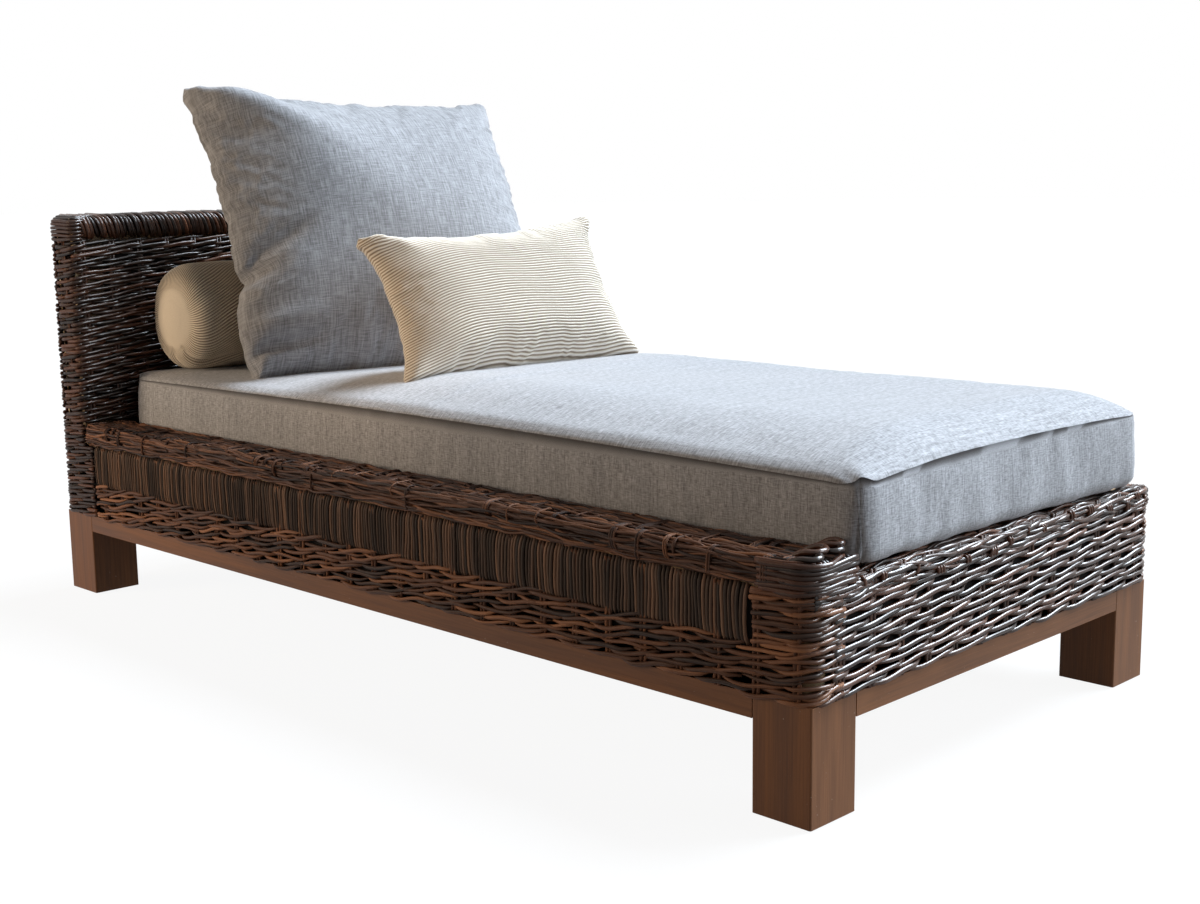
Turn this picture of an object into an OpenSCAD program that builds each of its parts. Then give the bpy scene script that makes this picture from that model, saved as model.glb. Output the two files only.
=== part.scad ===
// Woven daybed lounger: a wood base, a wicker body with a fixed head panel, and loose cushions.
// Origin on the floor under the middle of the base, +X to the foot, +Y to the far side, +Z up.

/* [Overall] */
// Length of the wood base
base_l = 1900; // [1600:10:2200]
// Width of the wood base
base_w = 892; // [820:2:1000]
// Height of the wood base from the floor
base_h = 163; // [130:1:200]
// How far the wicker stands out past the wood, on every side
overhang = 8; // [2:1:10]
// Height of the deck that carries the mattress
deck_z = 325; // [310:1:380]
// Height of the head panel from the floor
head_top = 762; // [640:1:900]

/* [Wood base] */
// Side of a square leg
leg_s = 96; // [80:1:120]
// Radius of a leg's eased upright edges
leg_ease = 3; // [1:0.5:6]
// Height of the rails between the legs
rail_h = 33; // [28:1:60]
// Thickness of the rails between the legs
rail_t = 45; // [38:1:60]
// Length of the tenon on each end of a rail
tenon_l = 30; // [15:1:40]
// Thickness of the tenons
tenon_t = 16; // [8:1:22]
// Height of the tenons
tenon_h = 21; // [12:1:24]
// Width of a cross bearer
bearer_w = 60; // [40:1:90]
// Length of a corner brace along each rail
brace_l = 100; // [80:1:140]
// Diameter of the corner bolts
bolt_d = 8; // [6:1:10]
// Length of a corner bolt under its head
bolt_l = 95; // [80:1:110]
// Diameter of a bolt head
bolt_head_d = 15; // [13:1:18]
// Height of a bolt head
bolt_head_h = 5; // [4:0.5:8]
// Diameter of a floor glide
glide_d = 50; // [30:1:70]
// Height of a floor glide
glide_h = 5; // [4:0.5:8]
// How far a glide stands out under its leg
glide_out = 2; // [1:0.5:3]

/* [Inner frame] */
// Width of the sills on the wood base
sill_w = 40; // [30:1:50]
// Height of the sills
sill_h = 30; // [20:1:40]
// Width of the upright posts along the body
post_w = 40; // [30:1:50]
// Width of the upright posts of the head panel
head_post_w = 60; // [40:1:80]
// Height of the top rail inside the head panel
head_rail_h = 40; // [30:1:45]
// Height of the rail halfway up the head panel
mid_rail_h = 45; // [30:1:60]
// Depth of the foot rail where it passes under the near rail
foot_lap = 25; // [15:1:30]
// Height of the ledgers under the slats
ledger_h = 30; // [20:1:40]
// How much of each slat end a ledger carries
ledger_seat = 30; // [20:1:40]
// Thickness of the slats
slat_t = 20; // [14:1:22]
// Width of the slats
slat_w = 110; // [60:1:140]

/* [Wicker] */
// Thickness of the woven walls
weave_t = 12; // [8:1:15]
// Height of a course of the weave
course_h = 12.4; // [10:0.1:20]
// Width of the grooves between the courses
groove_w = 3; // [2:0.5:5]
// Depth of the grooves between the courses
groove_d = 3; // [1:0.5:4]
// Radius of the upright corners, seen from above
corner_r = 35; // [24:1:50]
// Radius of the rims' and the cap's outer edges
rim_r = 14; // [8:1:20]
// Depth of the woven band round the rims
rim_h = 45; // [40:1:55]
// Rise of the side rims above the deck
rim_rise = 25; // [10:1:40]
// Width of the rim on the near side
rim_near_w = 100; // [85:1:110]
// Width of the rim on the far side
rim_far_w = 45; // [40:1:65]
// Width of the rim at the foot
rim_foot_w = 90; // [80:1:110]
// Thickness of the head panel
head_t = 108; // [90:1:140]
// Height of the wrapped cap on the head panel
cap_h = 52; // [46:1:70]
// Height above the wood of the panel of upright canes
cane_z = 67; // [50:1:80]
// Height of the weave left over the canes
cane_drop = 1; // [1:1:20]
// Distance from the head panel's front to the canes
cane_head = 30; // [15:1:100]
// Distance from the foot to the canes
cane_foot = 105; // [60:1:200]
// Thickness of the canes
cane_t = 6; // [3:1:7]

/* [Mattress] */
// Gap between the mattress and each side rim
side_gap = 1.5; // [0.5:0.5:10]
// Gap between the mattress and the head panel
head_gap = 15; // [2:1:25]
// How far the mattress stops short of the foot
foot_back = 2; // [0:1:40]
// Height of the mattress from its base to the upper seam
mattress_h = 115; // [80:1:140]
// Rise of the crown above the upper seam
crown_h = 42; // [20:1:60]
// Loss of crown under the pillows
crown_sag = 34; // [0:1:40]
// Width of the curved shoulder round the crown
shoulder = 110; // [80:1:160]
// Radius of the mattress corners
mattress_r = 16; // [10:1:40]
// How far the seams draw in between the corners
mattress_pull = 5; // [0:1:10]
// Swell of the side walls between their seams
wall_swell = 4; // [0:1:5]
// Thickness of the cover and its wadding at the sides
cover_t = 14; // [12:1:20]
// Gap between loose soft pieces and what they rest on
rest_gap = 0.4; // [0.3:0.1:1]
// Gap between a pillow's foot and the mattress's crown
foot_gap = 0.9; // [0.8:0.1:1]
// Length of the zip openings in the covers
zip_l = 300; // [150:10:400]
// Width of the zip openings
zip_w = 4; // [2:1:8]

/* [Bolster] */
// Diameter of the bolster
bolster_d = 214; // [150:2:240]
// Length of the bolster
bolster_l = 700; // [400:10:730]
// Radius of the bolster's end edges
bolster_edge = 34; // [20:1:50]
// Rise of the domed ends
bolster_dome = 12; // [5:1:25]
// Thickness of the bolster's cover
bolster_cover_t = 6; // [3:1:10]
// Gap between the bolster and the head panel
bolster_gap = 20; // [5:1:40]
// Shift of the bolster's middle from the mattress's middle
bolster_y = 0; // [-40:1:30]

/* [Back pillow] */
// Width of the back pillow
back_w = 676; // [500:2:680]
// Height of the back pillow
back_h = 628; // [500:2:680]
// Thickness of the back pillow
back_t = 245; // [150:5:260]
// Lean of the back pillow from upright
back_lean = 28; // [20:1:32]
// Turn of the back pillow seen from above
back_turn = -13; // [-14:1:14]
// Forward bow of the back pillow between its lower and upper edges
back_bow = 39; // [0:1:40]
// Room between the bolster and the middle of the back pillow
back_clear = 15; // [0:1:60]
// Shift of the back pillow's middle from the mattress's middle
back_y = 9; // [-20:1:20]
// How far the back pillow's far upper corner hangs below the near one
back_droop = 26; // [0:1:40]
// How far the sides of the back pillow pull in between its corners
back_pull = 15; // [0:1:40]

/* [Lumbar pillow] */
// Width of the lumbar pillow
lumbar_w = 554; // [450:2:640]
// Height of the lumbar pillow
lumbar_h = 310; // [250:5:350]
// Thickness of the lumbar pillow
lumbar_t = 150; // [90:1:170]
// Lean of the lumbar pillow from upright
lumbar_lean = 28; // [15:1:35]
// Turn of the lumbar pillow seen from above
lumbar_turn = 0; // [-8:1:8]
// Free distance between the feet of the two pillows
lumbar_gap = 162; // [60:1:200]
// Shift of the lumbar pillow's middle from the mattress's middle
lumbar_y = 14; // [-50:1:40]
// How far the sides of the lumbar pillow pull in between its corners
lumbar_pull = 20; // [0:1:40]
// Thickness of the pillow covers with their wadding
pillow_cover_t = 8; // [5:1:12]

/* [Hidden] */

wood = "#6f432c";
pale_wood = "#b99468";
wicker = "#3d261d";
grey_linen = "#868d9a";
cream = "#d2c8b2";
foam = "#e9e2cf";
steel = "#a9a9ad";
plastic = "#2b2b2c";

over = 1;

base_x = base_l / 2;
base_y = base_w / 2;
rail_mid_z = base_h - rail_h / 2;

// Outer and inner faces of the woven walls
out_x = base_x + overhang;
out_y = base_y + overhang;
in_x = out_x - weave_t;
in_y = out_y - weave_t;
head_front = head_t - out_x;
head_in = head_front - weave_t;

sill_top = base_h + sill_h;
slat_z = deck_z - slat_t;
foot_rail_z = slat_z - foot_lap;
rim_top = deck_z + rim_rise;
rim_bottom = rim_top - rim_h;
foot_bottom = deck_z - rim_h;
tray_near = rim_near_w - out_y;
tray_far = out_y - rim_far_w;
foot_inner = out_x - rim_foot_w;
cap_bottom = head_top - cap_h;
head_rail_z = head_top - weave_t - head_rail_h;

slat_count = 7;
slat_pitch = (foot_inner - head_in - slat_w) / (slat_count - 1);
post_span = (in_x - head_in) / 3;

// The mattress and its crown
matt_x0 = head_front + head_gap;
matt_x1 = out_x - foot_back;
matt_y0 = tray_near + side_gap;
matt_y1 = tray_far - side_gap;
matt_cx = (matt_x0 + matt_x1) / 2;
matt_cy = (matt_y0 + matt_y1) / 2;
matt_hx = (matt_x1 - matt_x0) / 2;
matt_hy = (matt_y1 - matt_y0) / 2;
matt_z = deck_z + rest_gap;
seam_z = matt_z + mattress_h;
core_drop = 12;
seam_in = wall_swell + 2;
sag_start = matt_cx + 20;
sag_run = 620;
plateau_head = seam_z + crown_h - crown_sag;

// Places of the loose pieces
bolster_x = head_front + bolster_gap + bolster_d / 2;
bolster_z = plateau_head + rest_gap + bolster_d / 2;
bolster_cy = matt_cy + bolster_y;
back_sink = 2;
back_z = plateau_head - back_sink;
back_x = bolster_x + (bolster_d / 2 + back_t / 2 - back_bow + back_clear) / cos(back_lean)
    + (bolster_z - back_z) * tan(back_lean);
back_foot = [back_x, matt_cy + back_y, back_z];
lumbar_x = back_x + back_t / 2 + lumbar_gap + lumbar_t / 2;
lumbar_sink = 10;
lumbar_z = crown_at(lumbar_x, matt_cy) - lumbar_sink;
lumbar_foot = [lumbar_x, matt_cy + lumbar_y, lumbar_z];

function smooth(t) = let (c = min(max(t, 0), 1)) c * c * (3 - 2 * c);

// Height of the mattress's surface at a point
function crown_at(x, y) =
    let (inset = min(x - matt_x0, matt_x1 - x, y - matt_y0, matt_y1 - y),
         rise = crown_h - crown_sag * smooth((sag_start - x) / sag_run),
         t = min(max(inset - seam_in, 0) / shoulder, 1))
    seam_z + rise * (1 - pow(1 - t, 2));

// An upright slab between two corners
module block(x0, x1, y0, y1, z0, z1) {
    translate([x0, y0, z0]) cube([x1 - x0, y1 - y0, z1 - z0]);
}

// A rectangle with round corners, drawn from exact circles
module round_plan(hx, hy, r) {
    square([2 * (hx - r), 2 * hy], center = true);
    square([2 * hx, 2 * (hy - r)], center = true);
    for (sx = [-1, 1], sy = [-1, 1])
        translate([sx * (hx - r), sy * (hy - r)]) circle(r, $fn = 48);
}

// The space inside and the solid outline of the woven body
module inner_body() {
    translate([0, 0, base_h - over]) linear_extrude(head_top)
        round_plan(in_x, in_y, corner_r - weave_t);
}

module outer_body() {
    translate([0, 0, base_h - over]) linear_extrude(head_top) round_plan(out_x, out_y, corner_r);
}

module inside(x0, x1, y0, y1, z0, z1) {
    intersection() {
        inner_body();
        block(x0, x1, y0, y1, z0, z1);
    }
}

module wall(x0, x1, y0, y1, z0, z1) {
    intersection() {
        difference() {
            outer_body();
            inner_body();
        }
        block(x0, x1, y0, y1, z0, z1);
    }
}

// Wood base

module at_leg(sx, sy) {
    translate([sx * (base_x - leg_s / 2), sy * (base_y - leg_s / 2), 0]) children();
}

module long_rail_blank(sy) {
    edge = base_y - rail_t / 2;
    shoulder_x = base_x - leg_s;
    translate([0, sy * edge, rail_mid_z]) {
        cube([2 * shoulder_x, rail_t, rail_h], center = true);
        cube([2 * (shoulder_x + tenon_l), tenon_t, tenon_h], center = true);
    }
}

module cross_rail_blank(sx) {
    edge = base_x - rail_t / 2;
    shoulder_y = base_y - leg_s;
    translate([sx * edge, 0, rail_mid_z]) {
        cube([rail_t, 2 * shoulder_y, rail_h], center = true);
        cube([tenon_t, 2 * (shoulder_y + tenon_l), tenon_h], center = true);
    }
}

// The corner bolts run level, at 45 degrees, through the brace into the leg
module bolt_line(sx, sy) {
    face_x = base_x - leg_s - (brace_l - leg_s + rail_t) / 2;
    face_y = base_y - leg_s - (brace_l - leg_s + rail_t) / 2;
    translate([sx * face_x, sy * face_y, rail_mid_z])
        rotate([0, 90, atan2(sy, sx)]) children();
}

module leg(sx, sy) {
    color(wood) difference() {
        at_leg(sx, sy) translate([0, 0, glide_out]) linear_extrude(base_h - glide_out)
            round_plan(leg_s / 2, leg_s / 2, leg_ease);
        long_rail_blank(sy);
        cross_rail_blank(sx);
        bolt_line(sx, sy) cylinder(h = bolt_l, d = bolt_d, $fn = 32);
        at_leg(sx, sy) translate([0, 0, -over]) cylinder(h = glide_h + over, d = glide_d, $fn = 64);
    }
}

module long_rail(sy) { color(wood) long_rail_blank(sy); }

module cross_rail(sx) { color(wood) cross_rail_blank(sx); }

module bearer(sx) {
    color(wood) translate([sx * base_l / 6, 0, rail_mid_z])
        cube([bearer_w, base_w - 2 * rail_t, rail_h], center = true);
}

module corner_braces() {
    leg_x = base_x - leg_s;
    leg_y = base_y - leg_s;
    rail_x = base_x - rail_t;
    rail_y = base_y - rail_t;
    for (sx = [-1, 1], sy = [-1, 1]) color(pale_wood) difference() {
        translate([0, 0, base_h - rail_h]) linear_extrude(rail_h) scale([sx, sy])
            polygon([[leg_x, rail_y], [leg_x - brace_l, rail_y], [rail_x, leg_y - brace_l],
                     [rail_x, leg_y], [leg_x, leg_y]]);
        bolt_line(sx, sy) translate([0, 0, -over]) cylinder(h = bolt_l, d = bolt_d, $fn = 32);
    }
}

module corner_bolts() {
    for (sx = [-1, 1], sy = [-1, 1]) color(steel) bolt_line(sx, sy) {
        cylinder(h = bolt_l, d = bolt_d, $fn = 32);
        translate([0, 0, -bolt_head_h]) cylinder(h = bolt_head_h, d = bolt_head_d, $fn = 32);
    }
}

module floor_glides() {
    for (sx = [-1, 1], sy = [-1, 1]) color(plastic) at_leg(sx, sy)
        cylinder(h = glide_h, d = glide_d, $fn = 64);
}

// Inner frame

module sill_long(sy) {
    y0 = in_y - sill_w;
    color(pale_wood) inside(-in_x, in_x, min(sy * y0, sy * in_y), max(sy * y0, sy * in_y), base_h, sill_top);
}

module sill_cross(sx) {
    x0 = in_x - sill_w;
    y1 = in_y - sill_w;
    color(pale_wood) block(min(sx * x0, sx * in_x), max(sx * x0, sx * in_x), -y1, y1, base_h, sill_top);
}

module foot_post(sy) {
    y0 = in_y - post_w;
    color(pale_wood) inside(in_x - post_w, in_x, min(sy * y0, sy * in_y), max(sy * y0, sy * in_y),
                            sill_top, foot_rail_z);
}

module side_post(sy, place) {
    x = head_in + place * post_span;
    y0 = in_y - post_w;
    color(pale_wood) block(x - post_w / 2, x + post_w / 2, min(sy * y0, sy * in_y), max(sy * y0, sy * in_y),
                           sill_top, slat_z);
}

module head_post(sy) {
    y0 = in_y - head_post_w;
    color(pale_wood) inside(-in_x, head_in, min(sy * y0, sy * in_y), max(sy * y0, sy * in_y),
                            sill_top, head_rail_z);
}

module head_top_rail() {
    color(pale_wood) inside(-in_x, head_in, -in_y, in_y, head_rail_z, head_top - weave_t);
}

module head_mid_rail() {
    y1 = in_y - head_post_w;
    z = (deck_z + head_rail_z) / 2;
    color(pale_wood) block(-in_x, head_in, -y1, y1, z - mid_rail_h / 2, z + mid_rail_h / 2);
}

module top_rail_near() {
    color(pale_wood) inside(head_in, in_x, -in_y, tray_near - weave_t, slat_z, rim_top - weave_t);
}

module top_rail_far() {
    color(pale_wood)
        block(head_in, foot_inner - weave_t, tray_far + weave_t, in_y, slat_z, rim_top - weave_t);
}

// The foot rail is lapped under the near rail
module top_rail_foot() {
    x0 = foot_inner + weave_t;
    color(pale_wood) {
        inside(x0, in_x, tray_near, in_y, foot_rail_z, deck_z - weave_t);
        inside(x0, in_x, -in_y, tray_near, foot_rail_z, slat_z);
    }
}

module ledger_near() {
    color(pale_wood)
        block(head_in, foot_inner, post_w - in_y, tray_near + ledger_seat, slat_z - ledger_h, slat_z);
}

module ledger_far() {
    color(pale_wood)
        block(head_in, foot_inner, tray_far - ledger_seat, in_y - post_w, slat_z - ledger_h, slat_z);
}

module slat(place) {
    x = head_in + place * slat_pitch;
    color(pale_wood) block(x, x + slat_w, tray_near, tray_far, slat_z, deck_z);
}

// Woven walls

// A bar's outline, seen from its end, with its upper corners rounded where asked
module capped_outline(w, h, left, right) {
    r = rim_r;
    square([w, h - r]);
    translate([left ? r : 0, 0]) square([w - (left ? r : 0) - (right ? r : 0), h]);
    if (left) translate([r, h - r]) circle(r, $fn = 32);
    if (right) translate([w - r, h - r]) circle(r, $fn = 32);
}

// A bar along X from x0 to x1, its left side towards -Y
module bar_x(x0, x1, y0, y1, z0, z1, left, right) {
    translate([x0, y0, z0]) rotate([90, 0, 90]) linear_extrude(x1 - x0)
        capped_outline(y1 - y0, z1 - z0, left, right);
}

// A bar along Y from y0 to y1, its right side towards +X
module bar_y(x0, x1, y0, y1, z0, z1, left, right) {
    translate([x0, y1, z0]) rotate([90, 0, 0]) linear_extrude(y1 - y0)
        capped_outline(x1 - x0, z1 - z0, left, right);
}

// The grooves between the level courses of a flat wall
module course_grooves(x0, x1, y0, y1, z0, z1) {
    rows = round((z1 - z0) / course_h);
    for (k = [1 : rows - 1]) let (z = z0 + k * (z1 - z0) / rows)
        block(x0, x1, y0, y1, z - groove_w / 2, z + groove_w / 2);
}

// The same in the outer face of a long wall, between its round corners
module side_grooves(sy, x0, x1, z0, z1) {
    y0 = out_y - groove_d;
    y1 = out_y + over;
    course_grooves(x0, x1, min(sy * y0, sy * y1), max(sy * y0, sy * y1), z0, z1);
}

// The grooves between the strands that lie along a rim's top
module top_grooves(x0, x1, y0, y1) {
    rows = round((y1 - y0) / course_h);
    for (k = [1 : rows - 1]) let (y = y0 + k * (y1 - y0) / rows)
        block(x0, x1, y - groove_w / 2, y + groove_w / 2, rim_top - groove_d, rim_top + over);
}

// The panel of upright canes lies in a recess of the weave
module cane_blank(sy) {
    y0 = out_y - cane_t;
    block(head_front + cane_head, out_x - cane_foot, min(sy * y0, sy * out_y), max(sy * y0, sy * out_y),
          base_h + cane_z, rim_bottom - cane_drop);
}

module cane_panel(sy) { color(wicker) cane_blank(sy); }

module weave_near() {
    color(wicker) difference() {
        wall(head_front, out_x, -out_y, corner_r - out_y, base_h, rim_bottom);
        cane_blank(-1);
        side_grooves(-1, head_front - over, out_x - corner_r, base_h, rim_bottom);
    }
}

module weave_far() {
    color(wicker) difference() {
        union() {
            wall(head_front, foot_inner, out_y - corner_r, out_y, base_h, rim_bottom);
            wall(foot_inner, out_x, out_y - corner_r, out_y, base_h, foot_bottom);
        }
        cane_blank(1);
        side_grooves(1, head_front - over, out_x - corner_r, base_h, rim_bottom);
    }
}

module weave_foot() {
    y1 = out_y - corner_r;
    color(wicker) difference() {
        union() {
            wall(out_x - corner_r, out_x, -y1, y1, base_h, foot_bottom);
            wall(out_x - corner_r, out_x, -y1, tray_near, foot_bottom, rim_bottom);
        }
        course_grooves(out_x - groove_d, out_x + over, -y1 - over, y1 + over, base_h, foot_bottom);
    }
}

module head_weave_back() {
    y1 = out_y - corner_r;
    color(wicker) difference() {
        wall(-out_x, corner_r - out_x, -y1, y1, base_h, cap_bottom);
        course_grooves(-out_x - over, groove_d - out_x, -y1 - over, y1 + over, base_h, cap_bottom);
    }
}

module head_weave_side(sy) {
    y0 = out_y - corner_r;
    color(wicker) difference() {
        wall(-out_x, head_front, min(sy * y0, sy * out_y), max(sy * y0, sy * out_y), base_h, cap_bottom);
        side_grooves(sy, corner_r - out_x, head_front + over, base_h, cap_bottom);
    }
}

// The head panel's front stands on the first slat and is let in over the side rails
module head_weave_front() {
    color(wicker) difference() {
        block(head_in, head_front, -in_y, in_y, deck_z, cap_bottom);
        block(head_in - over, head_front + over, -in_y - over, tray_near - weave_t, 0, rim_top - weave_t);
        block(head_in - over, head_front + over, tray_far + weave_t, in_y + over, 0, rim_top - weave_t);
        course_grooves(head_front - groove_d, head_front + over, -in_y - over, in_y + over,
                       rim_top, cap_bottom);
    }
}

module head_cap() {
    color(wicker) difference() {
        intersection() {
            outer_body();
            bar_y(-out_x, head_front, -out_y, out_y, cap_bottom, head_top, true, true);
        }
        inside(-in_x, head_in, -in_y, in_y, cap_bottom - over, head_top - weave_t);
    }
}

module rim_near() {
    color(wicker) difference() {
        intersection() {
            outer_body();
            bar_x(head_front, out_x, -out_y, tray_near, min(slat_z, rim_bottom), rim_top, true, false);
        }
        inside(head_in, in_x, -in_y, tray_near - weave_t, 0, rim_top - weave_t);
        block(head_in, out_x + over, -out_y - over, -in_y, 0, rim_bottom);
        block(in_x - corner_r, out_x + over, -out_y - over, tray_near, 0, rim_bottom);
        block(head_in, out_x + over, -in_y, tray_near + over, 0, slat_z);
        top_grooves(head_front - over, out_x - corner_r, rim_r - out_y, tray_near);
        side_grooves(-1, head_front - over, out_x - corner_r, rim_bottom, rim_top - rim_r);
    }
}

module rim_far() {
    color(wicker) difference() {
        bar_x(head_front, foot_inner, tray_far, out_y, min(slat_z, rim_bottom), rim_top, false, true);
        block(head_in, foot_inner - weave_t, tray_far + weave_t, in_y, 0, rim_top - weave_t);
        block(head_in, foot_inner + over, in_y, out_y + over, 0, rim_bottom);
        block(head_in, foot_inner + over, tray_far - over, in_y, 0, slat_z);
        top_grooves(head_front - over, foot_inner + over, tray_far, out_y - rim_r);
        side_grooves(1, head_front - over, foot_inner + over, rim_bottom, rim_top - rim_r);
    }
}

module rim_foot() {
    color(wicker) difference() {
        intersection() {
            outer_body();
            bar_y(foot_inner, out_x, tray_near, out_y, min(foot_rail_z, foot_bottom), deck_z, false, true);
        }
        inside(foot_inner + weave_t, in_x, tray_near - over, in_y, 0, deck_z - weave_t);
        block(in_x - corner_r, out_x + over, tray_near - over, out_y + over, 0, foot_bottom);
        block(foot_inner - over, out_x, tray_near - over, in_y, 0, foot_rail_z);
        block(foot_inner - over, out_x, in_y, out_y + over, 0, foot_bottom);
    }
}

// Soft forms

arc_n = 4;
long_n = 20;
short_n = 6;
loop_n = 4 * arc_n + 2 * long_n + 2 * short_n;

// A closed loop of points round a rectangle whose sides draw in between round corners
function loop_points(hx, hy, r, pull) = [
    for (i = [0 : short_n - 1]) let (s = 2 * i / short_n - 1) [hx - pull * (1 - s * s), s * (hy - r)],
    for (i = [0 : arc_n - 1]) let (a = 90 * i / arc_n) [hx - r + r * cos(a), hy - r + r * sin(a)],
    for (i = [0 : long_n - 1]) let (s = 1 - 2 * i / long_n) [s * (hx - r), hy - pull * (1 - s * s)],
    for (i = [0 : arc_n - 1]) let (a = 90 + 90 * i / arc_n) [r - hx + r * cos(a), hy - r + r * sin(a)],
    for (i = [0 : short_n - 1]) let (s = 1 - 2 * i / short_n) [pull * (1 - s * s) - hx, s * (hy - r)],
    for (i = [0 : arc_n - 1]) let (a = 180 + 90 * i / arc_n) [r - hx + r * cos(a), r - hy + r * sin(a)],
    for (i = [0 : long_n - 1]) let (s = 2 * i / long_n - 1) [s * (hx - r), pull * (1 - s * s) - hy],
    for (i = [0 : arc_n - 1]) let (a = 270 + 90 * i / arc_n) [hx - r + r * cos(a), r - hy + r * sin(a)]
];

// Each layer of the mattress's side: how far it lies in from the outline, and its height
base_round = 12;
seam_roll = 10;
wall_layers = [
    [wall_swell + base_round, matt_z], [wall_swell + base_round / 4, matt_z + base_round / 2],
    [wall_swell, matt_z + base_round], [0, matt_z + mattress_h / 2],
    [wall_swell, seam_z - seam_roll], [seam_in, seam_z]
];
crown_layers = [18, 34, 56, 84, 120, 180, 260, 330];
least_r = 8;
layer_n = len(wall_layers) + len(crown_layers);

function layer_loop(inset) =
    loop_points(matt_hx - inset, matt_hy - inset, max(mattress_r - inset / 2, least_r),
                mattress_pull * max(1 - inset / shoulder, 0));

function wall_points() = [
    for (layer = wall_layers) for (p = layer_loop(layer[0])) [matt_cx + p.x, matt_cy + p.y, layer[1]]
];

function crown_points() = [
    for (inset = crown_layers)
        for (p = layer_loop(inset)) let (x = matt_cx + p.x, y = matt_cy + p.y) [x, y, crown_at(x, y)]
];

// The crown closes on a spine along the middle of the mattress
function spine_points() = [
    for (i = [0 : long_n]) let (x = matt_cx + (1 - 2 * i / long_n) * (matt_hx - matt_hy))
        [x, matt_cy, crown_at(x, matt_cy)]
];

// The spine's point that each point of a loop runs in to
foot_end = short_n + arc_n;
far_end = foot_end + long_n;
head_end = far_end + 2 * arc_n + short_n;
near_end = head_end + long_n;
function spine_of(i) =
    i < foot_end ? 0 : i < far_end ? i - foot_end : i < head_end ? long_n : i < near_end ? near_end - i : 0;

module mattress_form() {
    low = layer_n * loop_n;
    last = low - loop_n;
    points = concat(wall_points(), crown_points(), [[matt_cx, matt_cy, matt_z]], spine_points());
    faces = concat(
        [for (k = [0 : layer_n - 2]) for (i = [0 : loop_n - 1])
            [k * loop_n + i, (k + 1) * loop_n + i, (k + 1) * loop_n + (i + 1) % loop_n]],
        [for (k = [0 : layer_n - 2]) for (i = [0 : loop_n - 1])
            [k * loop_n + i, (k + 1) * loop_n + (i + 1) % loop_n, k * loop_n + (i + 1) % loop_n]],
        [for (i = [0 : loop_n - 1]) [low, i, (i + 1) % loop_n]],
        [for (i = [0 : loop_n - 1]) let (next = (i + 1) % loop_n, a = spine_of(i), b = spine_of(next))
            each concat([[last + i, low + 1 + b, last + next]],
                        a == b ? [] : [[last + i, low + 1 + a, low + 1 + b]])]
    );
    polyhedron(points, faces, convexity = 4);
}

module mattress_core_blank() {
    inset = wall_swell + mattress_pull + cover_t;
    translate([matt_cx, matt_cy, matt_z + core_drop]) linear_extrude(mattress_h - core_drop)
        round_plan(matt_hx - inset, matt_hy - inset, mattress_r);
}

// Each cover opens at a zip: the mattress's at its head end, the bolster's at its back,
// and a pillow's in its lower edge
module mattress_cover() {
    z = matt_z + mattress_h / 2;
    color(grey_linen) difference() {
        mattress_form();
        mattress_core_blank();
        block(matt_x0 - over, matt_cx, matt_cy - zip_l / 2, matt_cy + zip_l / 2,
              z - zip_w / 2, z + zip_w / 2);
    }
}

module mattress_core() { color(foam) mattress_core_blank(); }

// Radius and place along the length of each ring of the bolster, one end to the other
bolster_sides = 40;
edge_n = 4;
dome_ring = 0.5;
function bolster_rings(d, l) =
    let (e = bolster_edge, r = d / 2 - e, y = l / 2 - bolster_dome - e,
         end = concat([for (i = [0 : edge_n]) let (a = 90 * i / edge_n) [r + e * cos(a), y + e * sin(a)]],
                      [[r * dome_ring, y + e + bolster_dome * (1 - pow(dome_ring, 2))]]))
    concat([for (i = [len(end) - 1 : -1 : 0]) [end[i].x, -end[i].y]], end);

module bolster_form(d, l) {
    rings = bolster_rings(d, l);
    n = bolster_sides;
    low = len(rings) * n;
    last = low - n;
    points = concat(
        [for (ring = rings) for (i = [0 : n - 1]) let (a = 360 * i / n)
            [ring.x * cos(a), ring.x * sin(a), ring.y]],
        [[0, 0, -l / 2], [0, 0, l / 2]]);
    faces = concat(
        [for (k = [0 : len(rings) - 2]) for (i = [0 : n - 1])
            [k * n + i, (k + 1) * n + i, (k + 1) * n + (i + 1) % n]],
        [for (k = [0 : len(rings) - 2]) for (i = [0 : n - 1])
            [k * n + i, (k + 1) * n + (i + 1) % n, k * n + (i + 1) % n]],
        [for (i = [0 : n - 1]) [low, i, (i + 1) % n]],
        [for (i = [0 : n - 1]) [last + i, low + 1, last + (i + 1) % n]]);
    polyhedron(points, faces, convexity = 4);
}

module at_bolster() {
    translate([bolster_x, bolster_cy, bolster_z]) rotate([90, 0, 0]) children();
}

module bolster_core_blank() {
    cylinder(h = bolster_l - 2 * (bolster_edge + bolster_dome), d = bolster_d - 2 * bolster_cover_t,
             center = true, $fn = 64);
}

module bolster_cover() {
    color(cream) at_bolster() difference() {
        bolster_form(bolster_d, bolster_l);
        bolster_core_blank();
        block(-bolster_d, 0, -zip_w / 2, zip_w / 2, -zip_l / 2, zip_l / 2);
    }
}

module bolster_core() { color(foam) at_bolster() bolster_core_blank(); }

// A knife-edge pillow is a grid of points over two faces that meet at its seam. Each is
// [width, height, thickness, pull, bow, droop, lean, turn, foot, lift above the foot, columns, rows].
back_pillow = [
    back_w, back_h, back_t, back_pull, back_bow, back_droop, back_lean, back_turn, back_foot, 0, 18, 18
];
lumbar_pillow = [
    lumbar_w, lumbar_h, lumbar_t, lumbar_pull, 0, 0, lumbar_lean, lumbar_turn, lumbar_foot, 0, 20, 14
];
fullness = 0.55;
lower_fill = 0.12;
seam_margin = 45;

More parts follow.
